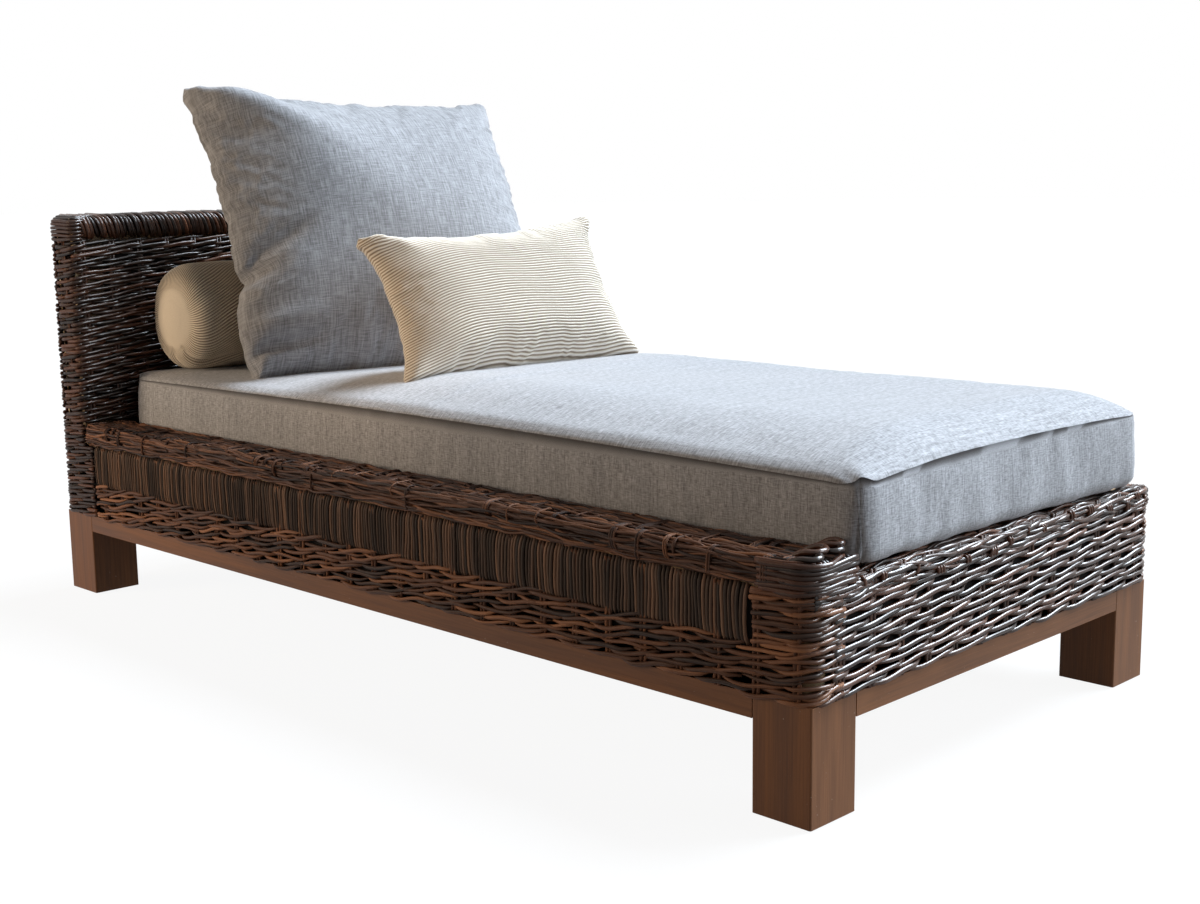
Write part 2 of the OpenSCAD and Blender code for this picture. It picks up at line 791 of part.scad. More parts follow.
// The insert of a pillow lies inside its cover, clear of the seams
function insert_of(p) = [
    p[0] - 2 * seam_margin, p[1] - 2 * seam_margin, p[2] - 2 * pillow_cover_t, p[3], p[4], p[5],
    p[6], p[7], p[8], seam_margin, p[10] / 2, p[11] / 2
];

// A point of a pillow standing on its lower edge, u and v from -1 to 1, side 1 in front and -1 behind
function stood(p, u, v, side) =
    let (x = p[0] / 2 * u - p[3] * pow(u, 3) * (1 - v * v),
         upper = v > 0 ? p[3] * pow(v, 3) * (1 - u * u) : 0,
         y = p[9] + p[1] / 2 * (1 + v) - upper - p[5] * (1 + u) * (1 + v) / 4,
         t = p[2] / 2 * pow((1 - u * u) * (1 - v * v), fullness) * (1 - lower_fill * v),
         z = side * t + p[4] * (1 - v * v),
         back = y * sin(p[6]) - z * cos(p[6]))
    [p[8].x - back * cos(p[7]) - x * sin(p[7]),
     p[8].y - back * sin(p[7]) + x * cos(p[7]),
     p[8].z + y * cos(p[6]) + z * sin(p[6])];

// The foot of a pillow follows the mattress that it stands on
function settled(p, q, v, gap) =
    let (ground = crown_at(q.x, q.y),
         drop = (ground - crown_at(p[8].x, p[8].y)) * smooth((1 - v) / 2))
    [q.x, q.y, max(q.z + drop, ground + gap)];

function pillow_point(p, i, j, side, gap) =
    let (u = sin(180 * i / p[10] - 90), v = sin(180 * j / p[11] - 90))
    settled(p, stood(p, u, v, side), v, gap);

module pillow_form(p, gap) {
    n = p[10];
    m = p[11];
    behind = (n + 1) * (m + 1);
    function on_seam(i, j) = i == 0 || i == n || j == 0 || j == m;
    function id(i, j, side) =
        side > 0 || on_seam(i, j) ? i * (m + 1) + j : behind + (i - 1) * (m - 1) + j - 1;
    points = concat(
        [for (i = [0 : n]) for (j = [0 : m]) pillow_point(p, i, j, 1, gap)],
        [for (i = [1 : n - 1]) for (j = [1 : m - 1]) pillow_point(p, i, j, -1, gap)]
    );
    // Each cell is cut along the diagonal that runs out towards the nearest corner
    function cell(i, j, side) =
        let (a = id(i, j, side), b = id(i + 1, j, side), c = id(i + 1, j + 1, side), d = id(i, j + 1, side),
             in_front = (2 * i < n) == (2 * j < m) ? [[a, c, b], [a, d, c]] : [[a, d, b], [d, c, b]])
        side > 0 ? in_front : [for (t = in_front) [t[2], t[1], t[0]]];
    faces = [for (side = [-1, 1]) for (i = [0 : n - 1]) for (j = [0 : m - 1]) each cell(i, j, side)];
    polyhedron(points, faces, convexity = 6);
}

module insert_blank(p) { pillow_form(insert_of(p), foot_gap + pillow_cover_t); }

module pillow_cover(p) {
    difference() {
        pillow_form(p, foot_gap);
        insert_blank(p);
        translate(p[8]) rotate([0, 0, p[7]]) rotate([0, -p[6], 0])
            block(-zip_w / 2, zip_w / 2, -zip_l / 2, zip_l / 2, -p[1], p[1] / 3);
    }
}

leg(1, -1);  // leg_foot_near
leg(1, 1);  // leg_foot_far
leg(-1, -1);  // leg_head_near
leg(-1, 1);  // leg_head_far
long_rail(-1);  // rail_near
long_rail(1);  // rail_far
cross_rail(1);  // rail_foot
cross_rail(-1);  // rail_head
bearer(-1);  // bearer_1
bearer(1);  // bearer_2
corner_braces();
corner_bolts();
floor_glides();
sill_long(-1);  // sill_near
sill_long(1);  // sill_far
sill_cross(1);  // sill_foot
sill_cross(-1);  // sill_head
foot_post(-1);  // post_foot_near
foot_post(1);  // post_foot_far
side_post(-1, 1);  // post_near_1
side_post(-1, 2);  // post_near_2
side_post(1, 1);  // post_far_1
side_post(1, 2);  // post_far_2
head_post(-1);  // head_post_near
head_post(1);  // head_post_far
head_top_rail();
head_mid_rail();
top_rail_near();
top_rail_far();
top_rail_foot();
ledger_near();
ledger_far();
slat(0);  // slat_1
slat(1);  // slat_2
slat(2);  // slat_3
slat(3);  // slat_4
slat(4);  // slat_5
slat(5);  // slat_6
slat(6);  // slat_7
weave_near();
weave_far();
weave_foot();
head_weave_back();
head_weave_front();
head_weave_side(-1);  // head_weave_near
head_weave_side(1);  // head_weave_far
cane_panel(-1);  // cane_panel_near
cane_panel(1);  // cane_panel_far
rim_near();
rim_far();
rim_foot();
head_cap();
mattress_cover();
mattress_core();
bolster_cover();
bolster_core();
color(grey_linen) pillow_cover(back_pillow);  // back_pillow_cover
color(foam) insert_blank(back_pillow);  // back_pillow_insert
color(cream) pillow_cover(lumbar_pillow);  // lumbar_pillow_cover
color(foam) insert_blank(lumbar_pillow);  // lumbar_pillow_insert
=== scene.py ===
import math

import bpy
import numpy as np
from mathutils import Matrix, Vector


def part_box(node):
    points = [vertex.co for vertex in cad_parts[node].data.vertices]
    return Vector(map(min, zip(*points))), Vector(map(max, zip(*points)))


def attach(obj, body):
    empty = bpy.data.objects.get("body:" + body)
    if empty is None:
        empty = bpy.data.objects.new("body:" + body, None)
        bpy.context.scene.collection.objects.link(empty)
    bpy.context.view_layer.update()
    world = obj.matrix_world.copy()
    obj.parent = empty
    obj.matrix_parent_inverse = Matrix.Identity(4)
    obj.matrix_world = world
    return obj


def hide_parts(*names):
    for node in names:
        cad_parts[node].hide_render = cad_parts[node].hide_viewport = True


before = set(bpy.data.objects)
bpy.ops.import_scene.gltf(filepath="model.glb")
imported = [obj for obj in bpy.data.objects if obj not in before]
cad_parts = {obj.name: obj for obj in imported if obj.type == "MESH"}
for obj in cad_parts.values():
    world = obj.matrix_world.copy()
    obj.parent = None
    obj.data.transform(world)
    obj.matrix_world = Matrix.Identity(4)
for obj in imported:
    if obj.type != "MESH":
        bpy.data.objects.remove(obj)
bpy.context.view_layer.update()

MM = 0.001


# Sizes read from the frame, in metres

def span(node, axis):
    """The lowest and highest place of a node along an axis."""
    low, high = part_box(node)
    return low[axis], high[axis]


HEAD_X, FOOT_X = span("head_weave_back", 0)[0], span("weave_foot", 0)[1]
NEAR_Y, FAR_Y = span("weave_near", 1)[0], span("weave_far", 1)[1]
BASE_Z = span("weave_near", 2)[0]
HEAD_FRONT = span("head_weave_front", 0)[1]
CAP_BOTTOM, HEAD_TOP = span("head_cap", 2)
CORNER_R = 35 * MM
PANEL_R = 18 * MM
CAP_R = 22 * MM
# Depth of the dark sheet behind the rods, which paints the shade in the gaps between them
WALL = 12 * MM


def add_object(name, data):
    """A new object in the scene."""
    made = bpy.data.objects.new(name, data)
    bpy.context.scene.collection.objects.link(made)
    return made


# Camera, as the photograph was taken

IMAGE_W = 1200
FOCAL_PX = 1634.17
SENSOR = 36.0
CAMERA_AT = Vector((2.1390, -2.0223, 0.8234))
CAMERA_AZ, CAMERA_EL, CAMERA_ROLL = (math.radians(a) for a in (44.59, 9.587, -0.751))


def make_camera():
    """The photo's camera, from its place, its turn, its height over the level and its roll."""
    az, el, roll = CAMERA_AZ, CAMERA_EL, CAMERA_ROLL
    back = Vector((math.sin(az) * math.cos(el), -math.cos(az) * math.cos(el), math.sin(el)))
    right = Vector((math.cos(az), math.sin(az), 0))
    up = back.cross(right)
    side = right * math.cos(roll) + up * math.sin(roll)
    top = up * math.cos(roll) - right * math.sin(roll)
    camera = add_object("camera", bpy.data.cameras.new("camera"))
    camera.data.sensor_width = SENSOR
    camera.data.lens = FOCAL_PX * SENSOR / IMAGE_W
    camera.data.clip_end = 50
    matrix = Matrix((side, top, back)).transposed().to_4x4()
    camera.matrix_world = Matrix.Translation(CAMERA_AT) @ matrix
    bpy.context.scene.camera = camera


# Shader helpers

class Nodes:
    """A node tree, with short ways to add and join nodes."""

    def __init__(self, tree):
        self.tree = tree

    def join(self, value, socket):
        """Links a socket to the value's own, or sets it where the value is plain."""
        if isinstance(value, bpy.types.NodeSocket):
            self.tree.links.new(value, socket)
        else:
            socket.default_value = value

    def add(self, kind, inputs=(), **settings):
        node = self.tree.nodes.new("ShaderNode" + kind)
        for key, value in settings.items():
            setattr(node, key, value)
        for key, value in dict(inputs).items():
            self.join(value, node.inputs[key])
        return node

    def noise(self, where, scale, detail=2.0, rough=0.5):
        return self.add("TexNoise", {"Vector": where, "Scale": scale, "Detail": detail,
                                     "Roughness": rough}).outputs["Fac"]

    def streaks(self, where, scales, detail=2.0, rough=0.5):
        """Noise with a scale of its own along each axis."""
        stretched = self.add("Mapping", {"Vector": where, "Scale": scales}).outputs[0]
        return self.noise(stretched, 1.0, detail, rough)

    def math(self, operation, a, b):
        return self.add("Math", {0: a, 1: b}, operation=operation).outputs[0]

    def times(self, a, b):
        return self.math("MULTIPLY", a, b)

    def plus(self, a, b):
        return self.math("ADD", a, b)

    def mix(self, share, a, b):
        """Colour a with a share of the plain colour b over it."""
        return self.add("Mix", {0: share, 6: a, 7: (*b, 1)}, data_type="RGBA").outputs[2]

    def ramp(self, value, *stops):
        """Colours along a value. A single number stands for a grey."""
        node = self.add("ValToRGB", {"Fac": value})
        elements = node.color_ramp.elements
        while len(elements) < len(stops):
            elements.new(0.5)
        for element, (place, colour) in zip(elements, stops):
            element.position = place
            element.color = (*map(float, np.broadcast_to(colour, 3)), 1)
        return node.outputs["Color"]

    def bump(self, height, strength, distance):
        """Relief in the shading only."""
        return self.add("Bump", {"Height": height, "Strength": strength,
                                 "Distance": distance}).outputs["Normal"]

    def layer(self, name):
        """A vector that the mesh's points carry, and its third part by itself."""
        vector = self.add("Attribute", attribute_name=name).outputs["Vector"]
        return vector, self.add("SeparateXYZ", {0: vector}).outputs[2]

    def seen(self):
        """1 for rays from the camera, off gloss or through glass, and 0 for those that carry light."""
        ray = self.add("LightPath").outputs
        beyond = self.math("MAXIMUM", ray["Is Glossy Ray"], ray["Is Transmission Ray"])
        return self.math("MAXIMUM", ray["Is Camera Ray"], beyond)


class Finish(Nodes):
    """A material and its nodes."""

    def __init__(self, name):
        self.material = bpy.data.materials.new(name)
        self.material.use_nodes = True
        super().__init__(self.material.node_tree)

    def set(self, **inputs):
        """Joins or sets the sockets of the material's shader, and returns the material."""
        for key, value in inputs.items():
            self.join(value, self.tree.nodes["Principled BSDF"].inputs[key.replace("_", " ")])
        return self.material


# Materials

def stained_wood(name, axis, dark=(0.08, 0.029, 0.011), light=(0.27, 0.114, 0.047)):
    """Stained wood whose grain runs along one axis."""
    n = Finish(name)
    where = n.add("TexCoord").outputs["Object"]
    grain_scale, pore_scale = [38.0] * 3, [420.0] * 3
    grain_scale[axis], pore_scale[axis] = 2.2, 9.0
    grain = n.streaks(where, grain_scale, 6, 0.62)
    tone = n.plus(n.times(grain, 0.65), n.times(n.streaks(where, pore_scale, 3, 0.6), 0.35))
    colour = n.ramp(tone, (0.32, dark), (0.66, light))
    colour = n.mix(n.times(n.noise(where, 5.0), 0.45), colour, [c * 0.55 for c in light])
    specks = n.ramp(n.noise(where, 260.0), (0.735, 0), (0.76, 1))
    colour = n.mix(specks, colour, (0.42, 0.33, 0.26))
    return n.set(Base_Color=colour, Roughness=n.ramp(grain, (0.3, 0.42), (0.8, 0.55)),
                 Normal=n.bump(tone, 0.25, 0.6 * MM), Specular_IOR_Level=0.2)


def wicker(name, dark, middle, light, rough=0.42):
    """Stained willow rods: each strand has a tone of its own and streaks along its length."""
    n = Finish(name)
    strand, tone = n.layer("strand")
    shine = n.add("Attribute", attribute_name="shine").outputs["Fac"]
    streaks = n.streaks(strand, (16.0, 2.2, 37.0), 4, 0.6)
    patches = n.streaks(strand, (5.0, 0.6, 91.0))
    flecks = n.streaks(strand, (90.0, 3.0, 11.0), 3, 0.7)
    tone = n.times(tone, 0.62)
    for spots, share in ((streaks, 0.8), (patches, 0.7), (flecks, 0.35)):
        tone = n.plus(tone, n.times(n.math("SUBTRACT", spots, 0.5), share))
    colour = n.ramp(tone, (0.02, dark), (0.42, middle), (0.92, light))
    return n.set(Base_Color=colour, Roughness=n.ramp(streaks, (0.3, rough), (0.75, rough + 0.2)),
                 Normal=n.bump(n.plus(streaks, n.times(flecks, 0.5)), 0.35, 0.7 * MM),
                 Specular_IOR_Level=0.12, Coat_Weight=n.times(shine, 0.85), Coat_Roughness=0.15)


LINEN_THREADS = np.array([(0.235, 0.23, 0.235), (0.385, 0.38, 0.392), (0.57, 0.565, 0.59)])


def grey_linen(name, shade, long, relief):
    """Grey linen: a crosshatch of uneven threads in two directions, with a dark line of painted shade at
    the seams.
    """
    n = Finish(name)
    where, seam = n.layer("cloth")
    warp = n.streaks(where, (560.0, long, 0.0), 3, 0.62)
    weft = n.streaks(where, (1.2 * long, 560.0, 0.0), 3, 0.62)
    slubs = n.streaks(where, (300.0, 9.0, 0.0))
    fine = n.streaks(where, (900.0, 900.0, 0.0), 1)
    threads = n.plus(n.plus(n.times(warp, 0.42), n.times(weft, 0.40)), n.times(slubs, 0.18))
    clouds = n.streaks(where, (6.0, 6.0, 0.0), 3)
    colour = n.ramp(threads, *zip((0.41, 0.5, 0.60), shade * LINEN_THREADS))
    colour = n.mix(n.times(clouds, 0.12), colour, (0.33, 0.32, 0.32))
    # Painted shade along the seams, where the cloth layer's third part is low
    colour = n.mix(n.ramp(seam, (0.06, 0.85), (0.42, 0)), colour, (0.05, 0.045, 0.045))
    return n.set(Base_Color=colour, Roughness=0.92, Sheen_Weight=0.2, Sheen_Roughness=0.5,
                 Specular_IOR_Level=0.2,
                 Normal=n.bump(n.plus(threads, n.times(fine, 0.3)), relief, 0.8 * MM))


def cream_rib(name, light):
    """Cream cloth, with fine threads along its ribs and painted shade darkening the grooves between them.
    """
    n = Finish(name)
    where, rib = n.layer("cloth")
    threads = n.streaks(where, (160.0, 620.0, 0.0))
    clouds = n.streaks(where, (14.0, 14.0, 0.0), 3)
    # The near-black end of this ramp is painted shade between the ribs
    colour = n.ramp(rib, (0.0, (0.09, 0.058, 0.033)), (0.4, (0.52, 0.43, 0.325)), (0.85, light))
    colour = n.mix(n.times(threads, 0.4), colour, (0.5, 0.40, 0.30))
    colour = n.mix(n.times(clouds, 0.12), colour, (0.55, 0.48, 0.38))
    return n.set(Base_Color=colour, Roughness=0.9, Sheen_Weight=0.15, Specular_IOR_Level=0.2,
                 Normal=n.bump(threads, 0.5, 0.6 * MM))


def plain(name, colour, rough, metal=0.0):
    """A moulded or metal surface with faint wear."""
    n = Finish(name)
    spots = n.noise(n.add("TexCoord").outputs["Object"], 90.0, 4)
    shade = n.mix(spots, (*[c * 0.75 for c in colour], 1), [min(c * 1.2, 1) for c in colour])
    return n.set(Base_Color=shade, Roughness=n.ramp(spots, (0.3, rough), (0.7, rough + 0.15)),
                 Metallic=metal)


# Meshes

def build(name, points, faces, material, body, layers=None):
    """A smooth piece made from points and faces, riding on a body."""
    mesh = bpy.data.meshes.new(name)
    mesh.from_pydata(np.asarray(points).tolist(), [], np.asarray(faces).tolist())
    mesh.polygons.foreach_set("use_smooth", [True] * len(mesh.polygons))
    for key, values in (layers or {}).items():
        values = np.asarray(values, np.float32)
        single = values.ndim == 1
        layer = mesh.attributes.new(key, "FLOAT" if single else "FLOAT_VECTOR", "POINT")
        layer.data.foreach_set("value" if single else "vector", values.ravel())
    mesh.materials.append(material)
    piece = add_object(name, mesh)
    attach(piece, body)
    return piece


def grid_faces(index, flip):
    """Four-cornered faces between the points of a grid, turned over where flip is true."""
    quads = np.stack([index[:-1, :-1], index[1:, :-1], index[1:, 1:], index[:-1, 1:]], -1).reshape(-1, 4)
    return quads[:, ::-1] if flip else quads


def unit(vectors):
    """Vectors of length 1."""
    return vectors / np.maximum(np.linalg.norm(vectors, axis=-1, keepdims=True), 1e-9)


class Strands:
    """Round strands gathered into one mesh. Their upper, outer sides are the most polished.

    shine and shine_top say how polished the walls that face the foot and the sky are.
    """

    SIDES = 6
    POLISHED = np.array([0.67, 0, 0.74])

    def __init__(self, seed, shine=1.0, shine_top=0.0):
        self.shining = np.array([shine, 0, shine_top])
        self.random = np.random.default_rng(seed)
        self.points, self.faces, self.strand, self.shine = [], [], [], []
        self.count = 0

    def add(self, path, outward, radius, tone=None):
        """One strand along a path. outward points away from the wall."""
        n, sides = len(path), self.SIDES
        along = unit(np.gradient(path, axis=0))
        outward = np.broadcast_to(outward, path.shape)
        out = unit(outward - along * np.sum(outward * along, axis=1, keepdims=True))
        side = np.cross(along, out)
        angle = np.arange(sides) * (2 * math.pi / sides)
        radius = np.broadcast_to(radius, n)[:, None, None]
        ring = np.cos(angle)[:, None] * out[:, None] + np.sin(angle)[:, None] * side[:, None]
        self.points.append((path[:, None] + ring * radius).reshape(-1, 3))
        first = np.arange((n - 1) * sides).reshape(n - 1, sides)
        after = np.roll(first, -1, 1)
        quads = np.stack([first, after, after + sides, first + sides], -1)
        last = (n - 1) * sides
        caps = [[3, 2, 1, 0], [5, 4, 3, 0],
                [last, last + 1, last + 2, last + 3], [last, last + 3, last + 4, last + 5]]
        self.faces.append(np.concatenate([quads.reshape(-1, 4), caps]) + self.count)
        run = np.concatenate([[0], np.cumsum(np.linalg.norm(np.diff(path, axis=0), axis=1))])
        run = run + self.random.uniform(0, 50)
        tone = self.random.uniform() if tone is None else tone
        self.strand.append(np.stack([np.repeat(run, sides), np.tile(angle, n),
                                     np.full(n * sides, tone)], -1))
        facing = np.clip(outward @ self.shining, 0, 1)[:, None]
        self.shine.append((facing * np.clip(1.5 * (ring @ self.POLISHED) - 0.4, 0, 1)).ravel())
        self.count += n * sides

    def build(self, name, material, *nodes):
        """The piece made of all strands, which stands for some nodes."""
        layers = {"strand": np.concatenate(self.strand), "shine": np.concatenate(self.shine)}
        piece = build(name, np.concatenate(self.points), np.concatenate(self.faces), material,
                      "lounger_frame", layers)
        if nodes:
            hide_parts(*nodes)


class Plan:
    """A rounded rectangle seen from above, run round from its near side's head end."""

    def __init__(self, x0, x1, y0, y1, r_foot, r_head):
        corners = [((x1, y0), -90, r_foot), ((x1, y1), 0, r_foot),
                   ((x0, y1), 90, r_head), ((x0, y0), 180, r_head)]
        self.parts, at = [], 0.0
        start = np.array([x0 + r_head, y0])
        for (cx, cy), degrees, r in corners:
            turn = math.radians(degrees)
            normal = np.array([math.cos(turn), math.sin(turn)])
            ahead = np.array([-normal[1], normal[0]])
            inner = np.array([cx - math.copysign(r, cx - (x0 + x1) / 2),
                              cy - math.copysign(r, cy - (y0 + y1) / 2)])
            end = inner + normal * r
            length = float(np.dot(end - start, ahead))
            self.parts.append(("line", at, length, start, ahead, normal))
            at += length
            self.parts.append(("arc", at, r * math.pi / 2, inner, turn, r))
            at += r * math.pi / 2
            start = inner + r * ahead
        self.length = at

    def at(self, s, depth):
        """Points in plan at s along the outline, depth inside it, and the outward normals."""
        s = np.mod(np.asarray(s, float), self.length)
        place, normals = np.zeros((len(s), 2)), np.zeros((len(s), 2))
        for kind, start, length, a, b, c in self.parts:
            here = (s >= start) & (s <= start + length)
            if kind == "line":
                place[here] = a + (s[here, None] - start) * b
                normals[here] = c
            else:
                turn = b + (s[here] - start) / max(c, 1e-6)
                normals[here] = np.stack([np.cos(turn), np.sin(turn)], -1)
                place[here] = a + c * normals[here]
        return place - normals * np.asarray(depth)[..., None], normals

    def strand(self, s, z, depth):
        """A path in space and its outward normals."""
        place, normals = self.at(s, depth)
        z = np.broadcast_to(z, len(place))
        return (np.column_stack([place, z]),
                np.column_stack([normals, np.zeros(len(place))]))


def smooth(t):
    """A soft step from 0 to 1."""
    t = np.clip(t, 0, 1)
    return t * t * (3 - 2 * t)


def dive(t, first, last):
    """How far a strand dives under the others: from 1 at each end to 0 past a share first or last of it."""
    return (1 - smooth(t / first)) + (1 - smooth((1 - t) / last))


# Upper end of the draws of a wave's phase, and the share of its length after which a strand is followed
WAVE_PHASE = 6.28
OVERLAP = 0.8


def rod_rows(strands, plan, s0, s1, z0, z1, rows, rod, pitch,
             reach=1.7, tilt=0.6, wave=0.6, sunk=0.0):
    """Rows of short rods that cross over the stakes in turn and dive behind at both ends."""
    rand = strands.random
    step = (z1 - z0) / rows
    for row in range(rows):
        z = z0 + (row + 0.5) * step
        drift = rand.uniform(0, WAVE_PHASE, 2)
        start = s0 - pitch * (0.9 + 0.5 * (row % 2)) + rand.uniform(-0.08, 0.08) * pitch
        while start < s1:
            length = pitch * reach * rand.uniform(0.9, 1.12)
            t = np.linspace(0, 1, max(8, int(length / (7 * MM))))
            s = start + length * t
            depth = rod * 0.5 + 0.6 * MM + dive(t, 0.26, 0.2) * rod + rand.uniform(-0.6, 0.9) * MM + sunk
            lift = tilt * step * (t - 0.5) * rand.uniform(0.5, 1.3) + 0.34 * step * smooth((t - 0.8) / 0.2)
            lift = lift - 0.12 * step * np.sin(2 * math.pi * t)
            lift = lift + wave * MM * (np.sin(s * 23 + drift[0]) + np.sin(s * 61 + drift[1]))
            inside = (s >= s0) & (s <= s1)
            if inside.sum() >= 4:
                path, out = plan.strand(s[inside], (z + lift)[inside], depth[inside])
                size = rod / 2 * rand.uniform(0.84, 1.12)
                strands.add(path, out, size * (1 - 0.3 * np.abs(2 * t[inside] - 1) ** 3))
            start += pitch * rand.uniform(0.93, 1.07)


def stakes(strands, plan, s0, s1, z0, z1, pitch, rod):
    """Upright stakes that the rods pass over."""
    rand = strands.random
    for s in np.arange(s0 + pitch / 2, s1, pitch):
        for shift in (-0.6, 0.6):
            z = np.linspace(z0, z1, 12)
            run = s + shift * rod + rand.normal(0, 0.5 * MM, 12)
            path, out = plan.strand(run, z, np.full(12, rod * 1.15))
            strands.add(path, out, rod / 2, rand.uniform(0.2, 0.9))


def shade_sheet(name, plan, z1):
    """A dark sheet behind the rods, round a whole plan: painted shade in the gaps between them."""
    s = np.linspace(0, plan.length, int(plan.length / 0.01))
    place, _ = plan.at(s, np.full(len(s), WALL))
    low, high = (np.column_stack([place, np.full(len(s), z)]) for z in (BASE_Z, z1))
    k = np.arange(len(s) - 1)
    faces = np.stack([k, k + 1, k + 1 + len(s), k + len(s)], -1)
    build(name, np.concatenate([low, high]), faces, PAINTED_SHADE, "lounger_frame")


make_camera()

BODY = Plan(HEAD_X, FOOT_X, NEAR_Y, FAR_Y, CORNER_R, CORNER_R)
PANEL = Plan(HEAD_X, HEAD_FRONT, NEAR_Y, FAR_Y, PANEL_R, CORNER_R)


class Bar:
    """A straight bar with a rounded section. q runs round the section and a along the bar."""

    def __init__(self, axis, a0, a1, z0, z1, r):
        self.axis = axis
        self.section = Plan(a0, a1, z0, z1, r, r)
        self.length = self.section.length

    def strand(self, a, q, depth):
        place, normals = self.section.at(q, np.broadcast_to(depth, len(q)))
        a, flat = np.broadcast_to(a, len(q)), np.zeros(len(q))
        if self.axis == "x":
            return (np.column_stack([a, place]), np.column_stack([flat, normals]))
        return (np.column_stack([place[:, 0], a, place[:, 1]]),
                np.column_stack([normals[:, 0], flat, normals[:, 1]]))

    def shade_sheet(self, name, a0, a1, q0, q1, depth):
        """A dark sheet under the strands: painted shade in the gaps between them."""
        q = np.linspace(q0, q1, max(2, int((q1 - q0) / (5 * MM))))
        ends = np.stack([self.strand(a, q, depth)[0] for a in (a0, a1)])
        index = np.arange(2 * len(q)).reshape(2, len(q))
        build(name, ends.reshape(-1, 3), grid_faces(index, False), PAINTED_SHADE, "lounger_frame")


def underlay(strands, bar, a0, a1, q0, q1, rod, depth):
    """Straight strands side by side along a bar, under the ones that show, in dark tones that paint the
    shade beneath them.
    """
    rand = strands.random
    rows = int((q1 - q0) / rod)
    for row in range(rows):
        a = np.linspace(a0, a1, max(6, int((a1 - a0) / (14 * MM))))
        q = q0 + (row + 0.5) * rod + 0.5 * MM * np.sin(a * 31 + rand.uniform(0, WAVE_PHASE))
        path, out = bar.strand(a, q, depth + rand.uniform(-0.5, 0.5) * MM)
        # Dark tones only: painted shade under the top layer
        strands.add(path, out, rod / 2, rand.uniform(0, 0.3))


def lengthwise(strands, bar, a0, a1, q0, q1, rows, rod):
    """Long thin strands that wander along a bar, over and under each other."""
    rand = strands.random
    step = (q1 - q0) / rows
    for row in range(rows):
        middle = q0 + (row + 0.5) * step
        start = a0 - rand.uniform(0, 0.3)
        while start < a1:
            length = rand.uniform(0.12, 0.4)
            t = np.linspace(0, 1, int(length / (8 * MM)))
            a = start + length * t
            phase = rand.uniform(0, WAVE_PHASE, 4)
            q = middle + step * (0.5 * np.sin(a * 23 + phase[0]) + 0.3 * np.sin(a * 57 + phase[1]))
            q = q + rand.uniform(-1.5, 1.5) * step * (t - 0.5)
            depth = rod * (0.95 + 0.5 * np.sin(a * 41 + phase[2]) + 0.2 * np.sin(a * 93 + phase[3]))
            depth = depth + rod * 0.9 * dive(t, 0.1, 0.1)
            inside = (a >= a0) & (a <= a1)
            if inside.sum() >= 4:
                path, out = bar.strand(a[inside], np.clip(q, q0, q1)[inside], depth[inside])
                strands.add(path, out, rod / 2 * rand.uniform(0.65, 1.15))
            start += length * rand.uniform(0.6, 0.85) * OVERLAP


def bindings(strands, bar, a0, a1, q0, q1, pitch, rod, tone=None):
    """Short strands that cross the long ones and hold them."""
    rand = strands.random
    for a in np.arange(a0 + pitch / 2, a1, pitch):
        middle = a + rand.uniform(-0.25, 0.25) * pitch
        low = rand.uniform(q0, q0 + 0.6 * (q1 - q0))
        high = min(low + rand.uniform(0.25, 0.5) * (q1 - q0), q1)
        lean = rand.uniform(-9, 9) * MM
        for turn in range(rand.integers(1, 4)):
            t = np.linspace(0, 1, 14)
            q = low + (high - low) * t
            run = middle + lean * t + turn * rod * 1.05
            depth = rod * (0.35 + 1.5 * dive(t, 0.2, 0.2))
            path, out = bar.strand(run, q, depth)
            strands.add(path, out, rod / 2 * rand.uniform(0.8, 1.1), tone)


def canes(strands, plan, s0, s1, z0, z1, pitch):
    """Upright canes side by side, each a little bent and with its own tone."""
    rand = strands.random
    count = int((s1 - s0) / pitch)
    lean = 0.0
    for k in range(count):
        lean = 0.8 * lean + rand.normal(0, 0.6 * MM)
        t = np.linspace(0, 1, 10)
        bow = 2.2 * MM * np.sin(math.pi * t) * math.sin(k * 0.09)
        s = s0 + (k + 0.5) * pitch + lean * (2 * t - 1) + bow + 0.7 * MM * np.sin(t * 5 + k * 0.7)
        z = z0 - 4 * MM + (z1 - z0 + 8 * MM) * t
        depth = 4.4 * MM + rand.uniform(-0.7, 0.9) * MM + 5 * MM * dive(t, 0.16, 0.16)
        path, out = plan.strand(s, z, depth)
        strands.add(path, out, pitch * 0.5 * rand.uniform(0.74, 0.94), rand.uniform() ** 1.4)


def wraps(strands, bar, a0, a1, pitch, rod, slant, middle):
    """Strands wound round a bar, leaning most at the place middle round its section."""
    rand = strands.random
    for k in range(int((a1 - a0) / pitch)):
        q = np.linspace(0, bar.length, 60)
        t = q / bar.length
        wobble = rand.uniform(-1, 1, 4)
        a = a0 + (k + t) * pitch - slant * (1 + 0.25 * wobble[3]) * np.sin(2 * math.pi * (t - middle))
        a = a + 1.6 * MM * wobble[0] * np.sin(9 * t + wobble[1] * 3)
        depth = rod * 0.5 + 0.9 * MM * wobble[2] + 0.8 * MM * np.sin(11 * t + wobble[1] * 5)
        path, out = bar.strand(np.clip(a, a0, a1), q, depth)
        strands.add(path, out, rod / 2 * rand.uniform(0.8, 1.1))


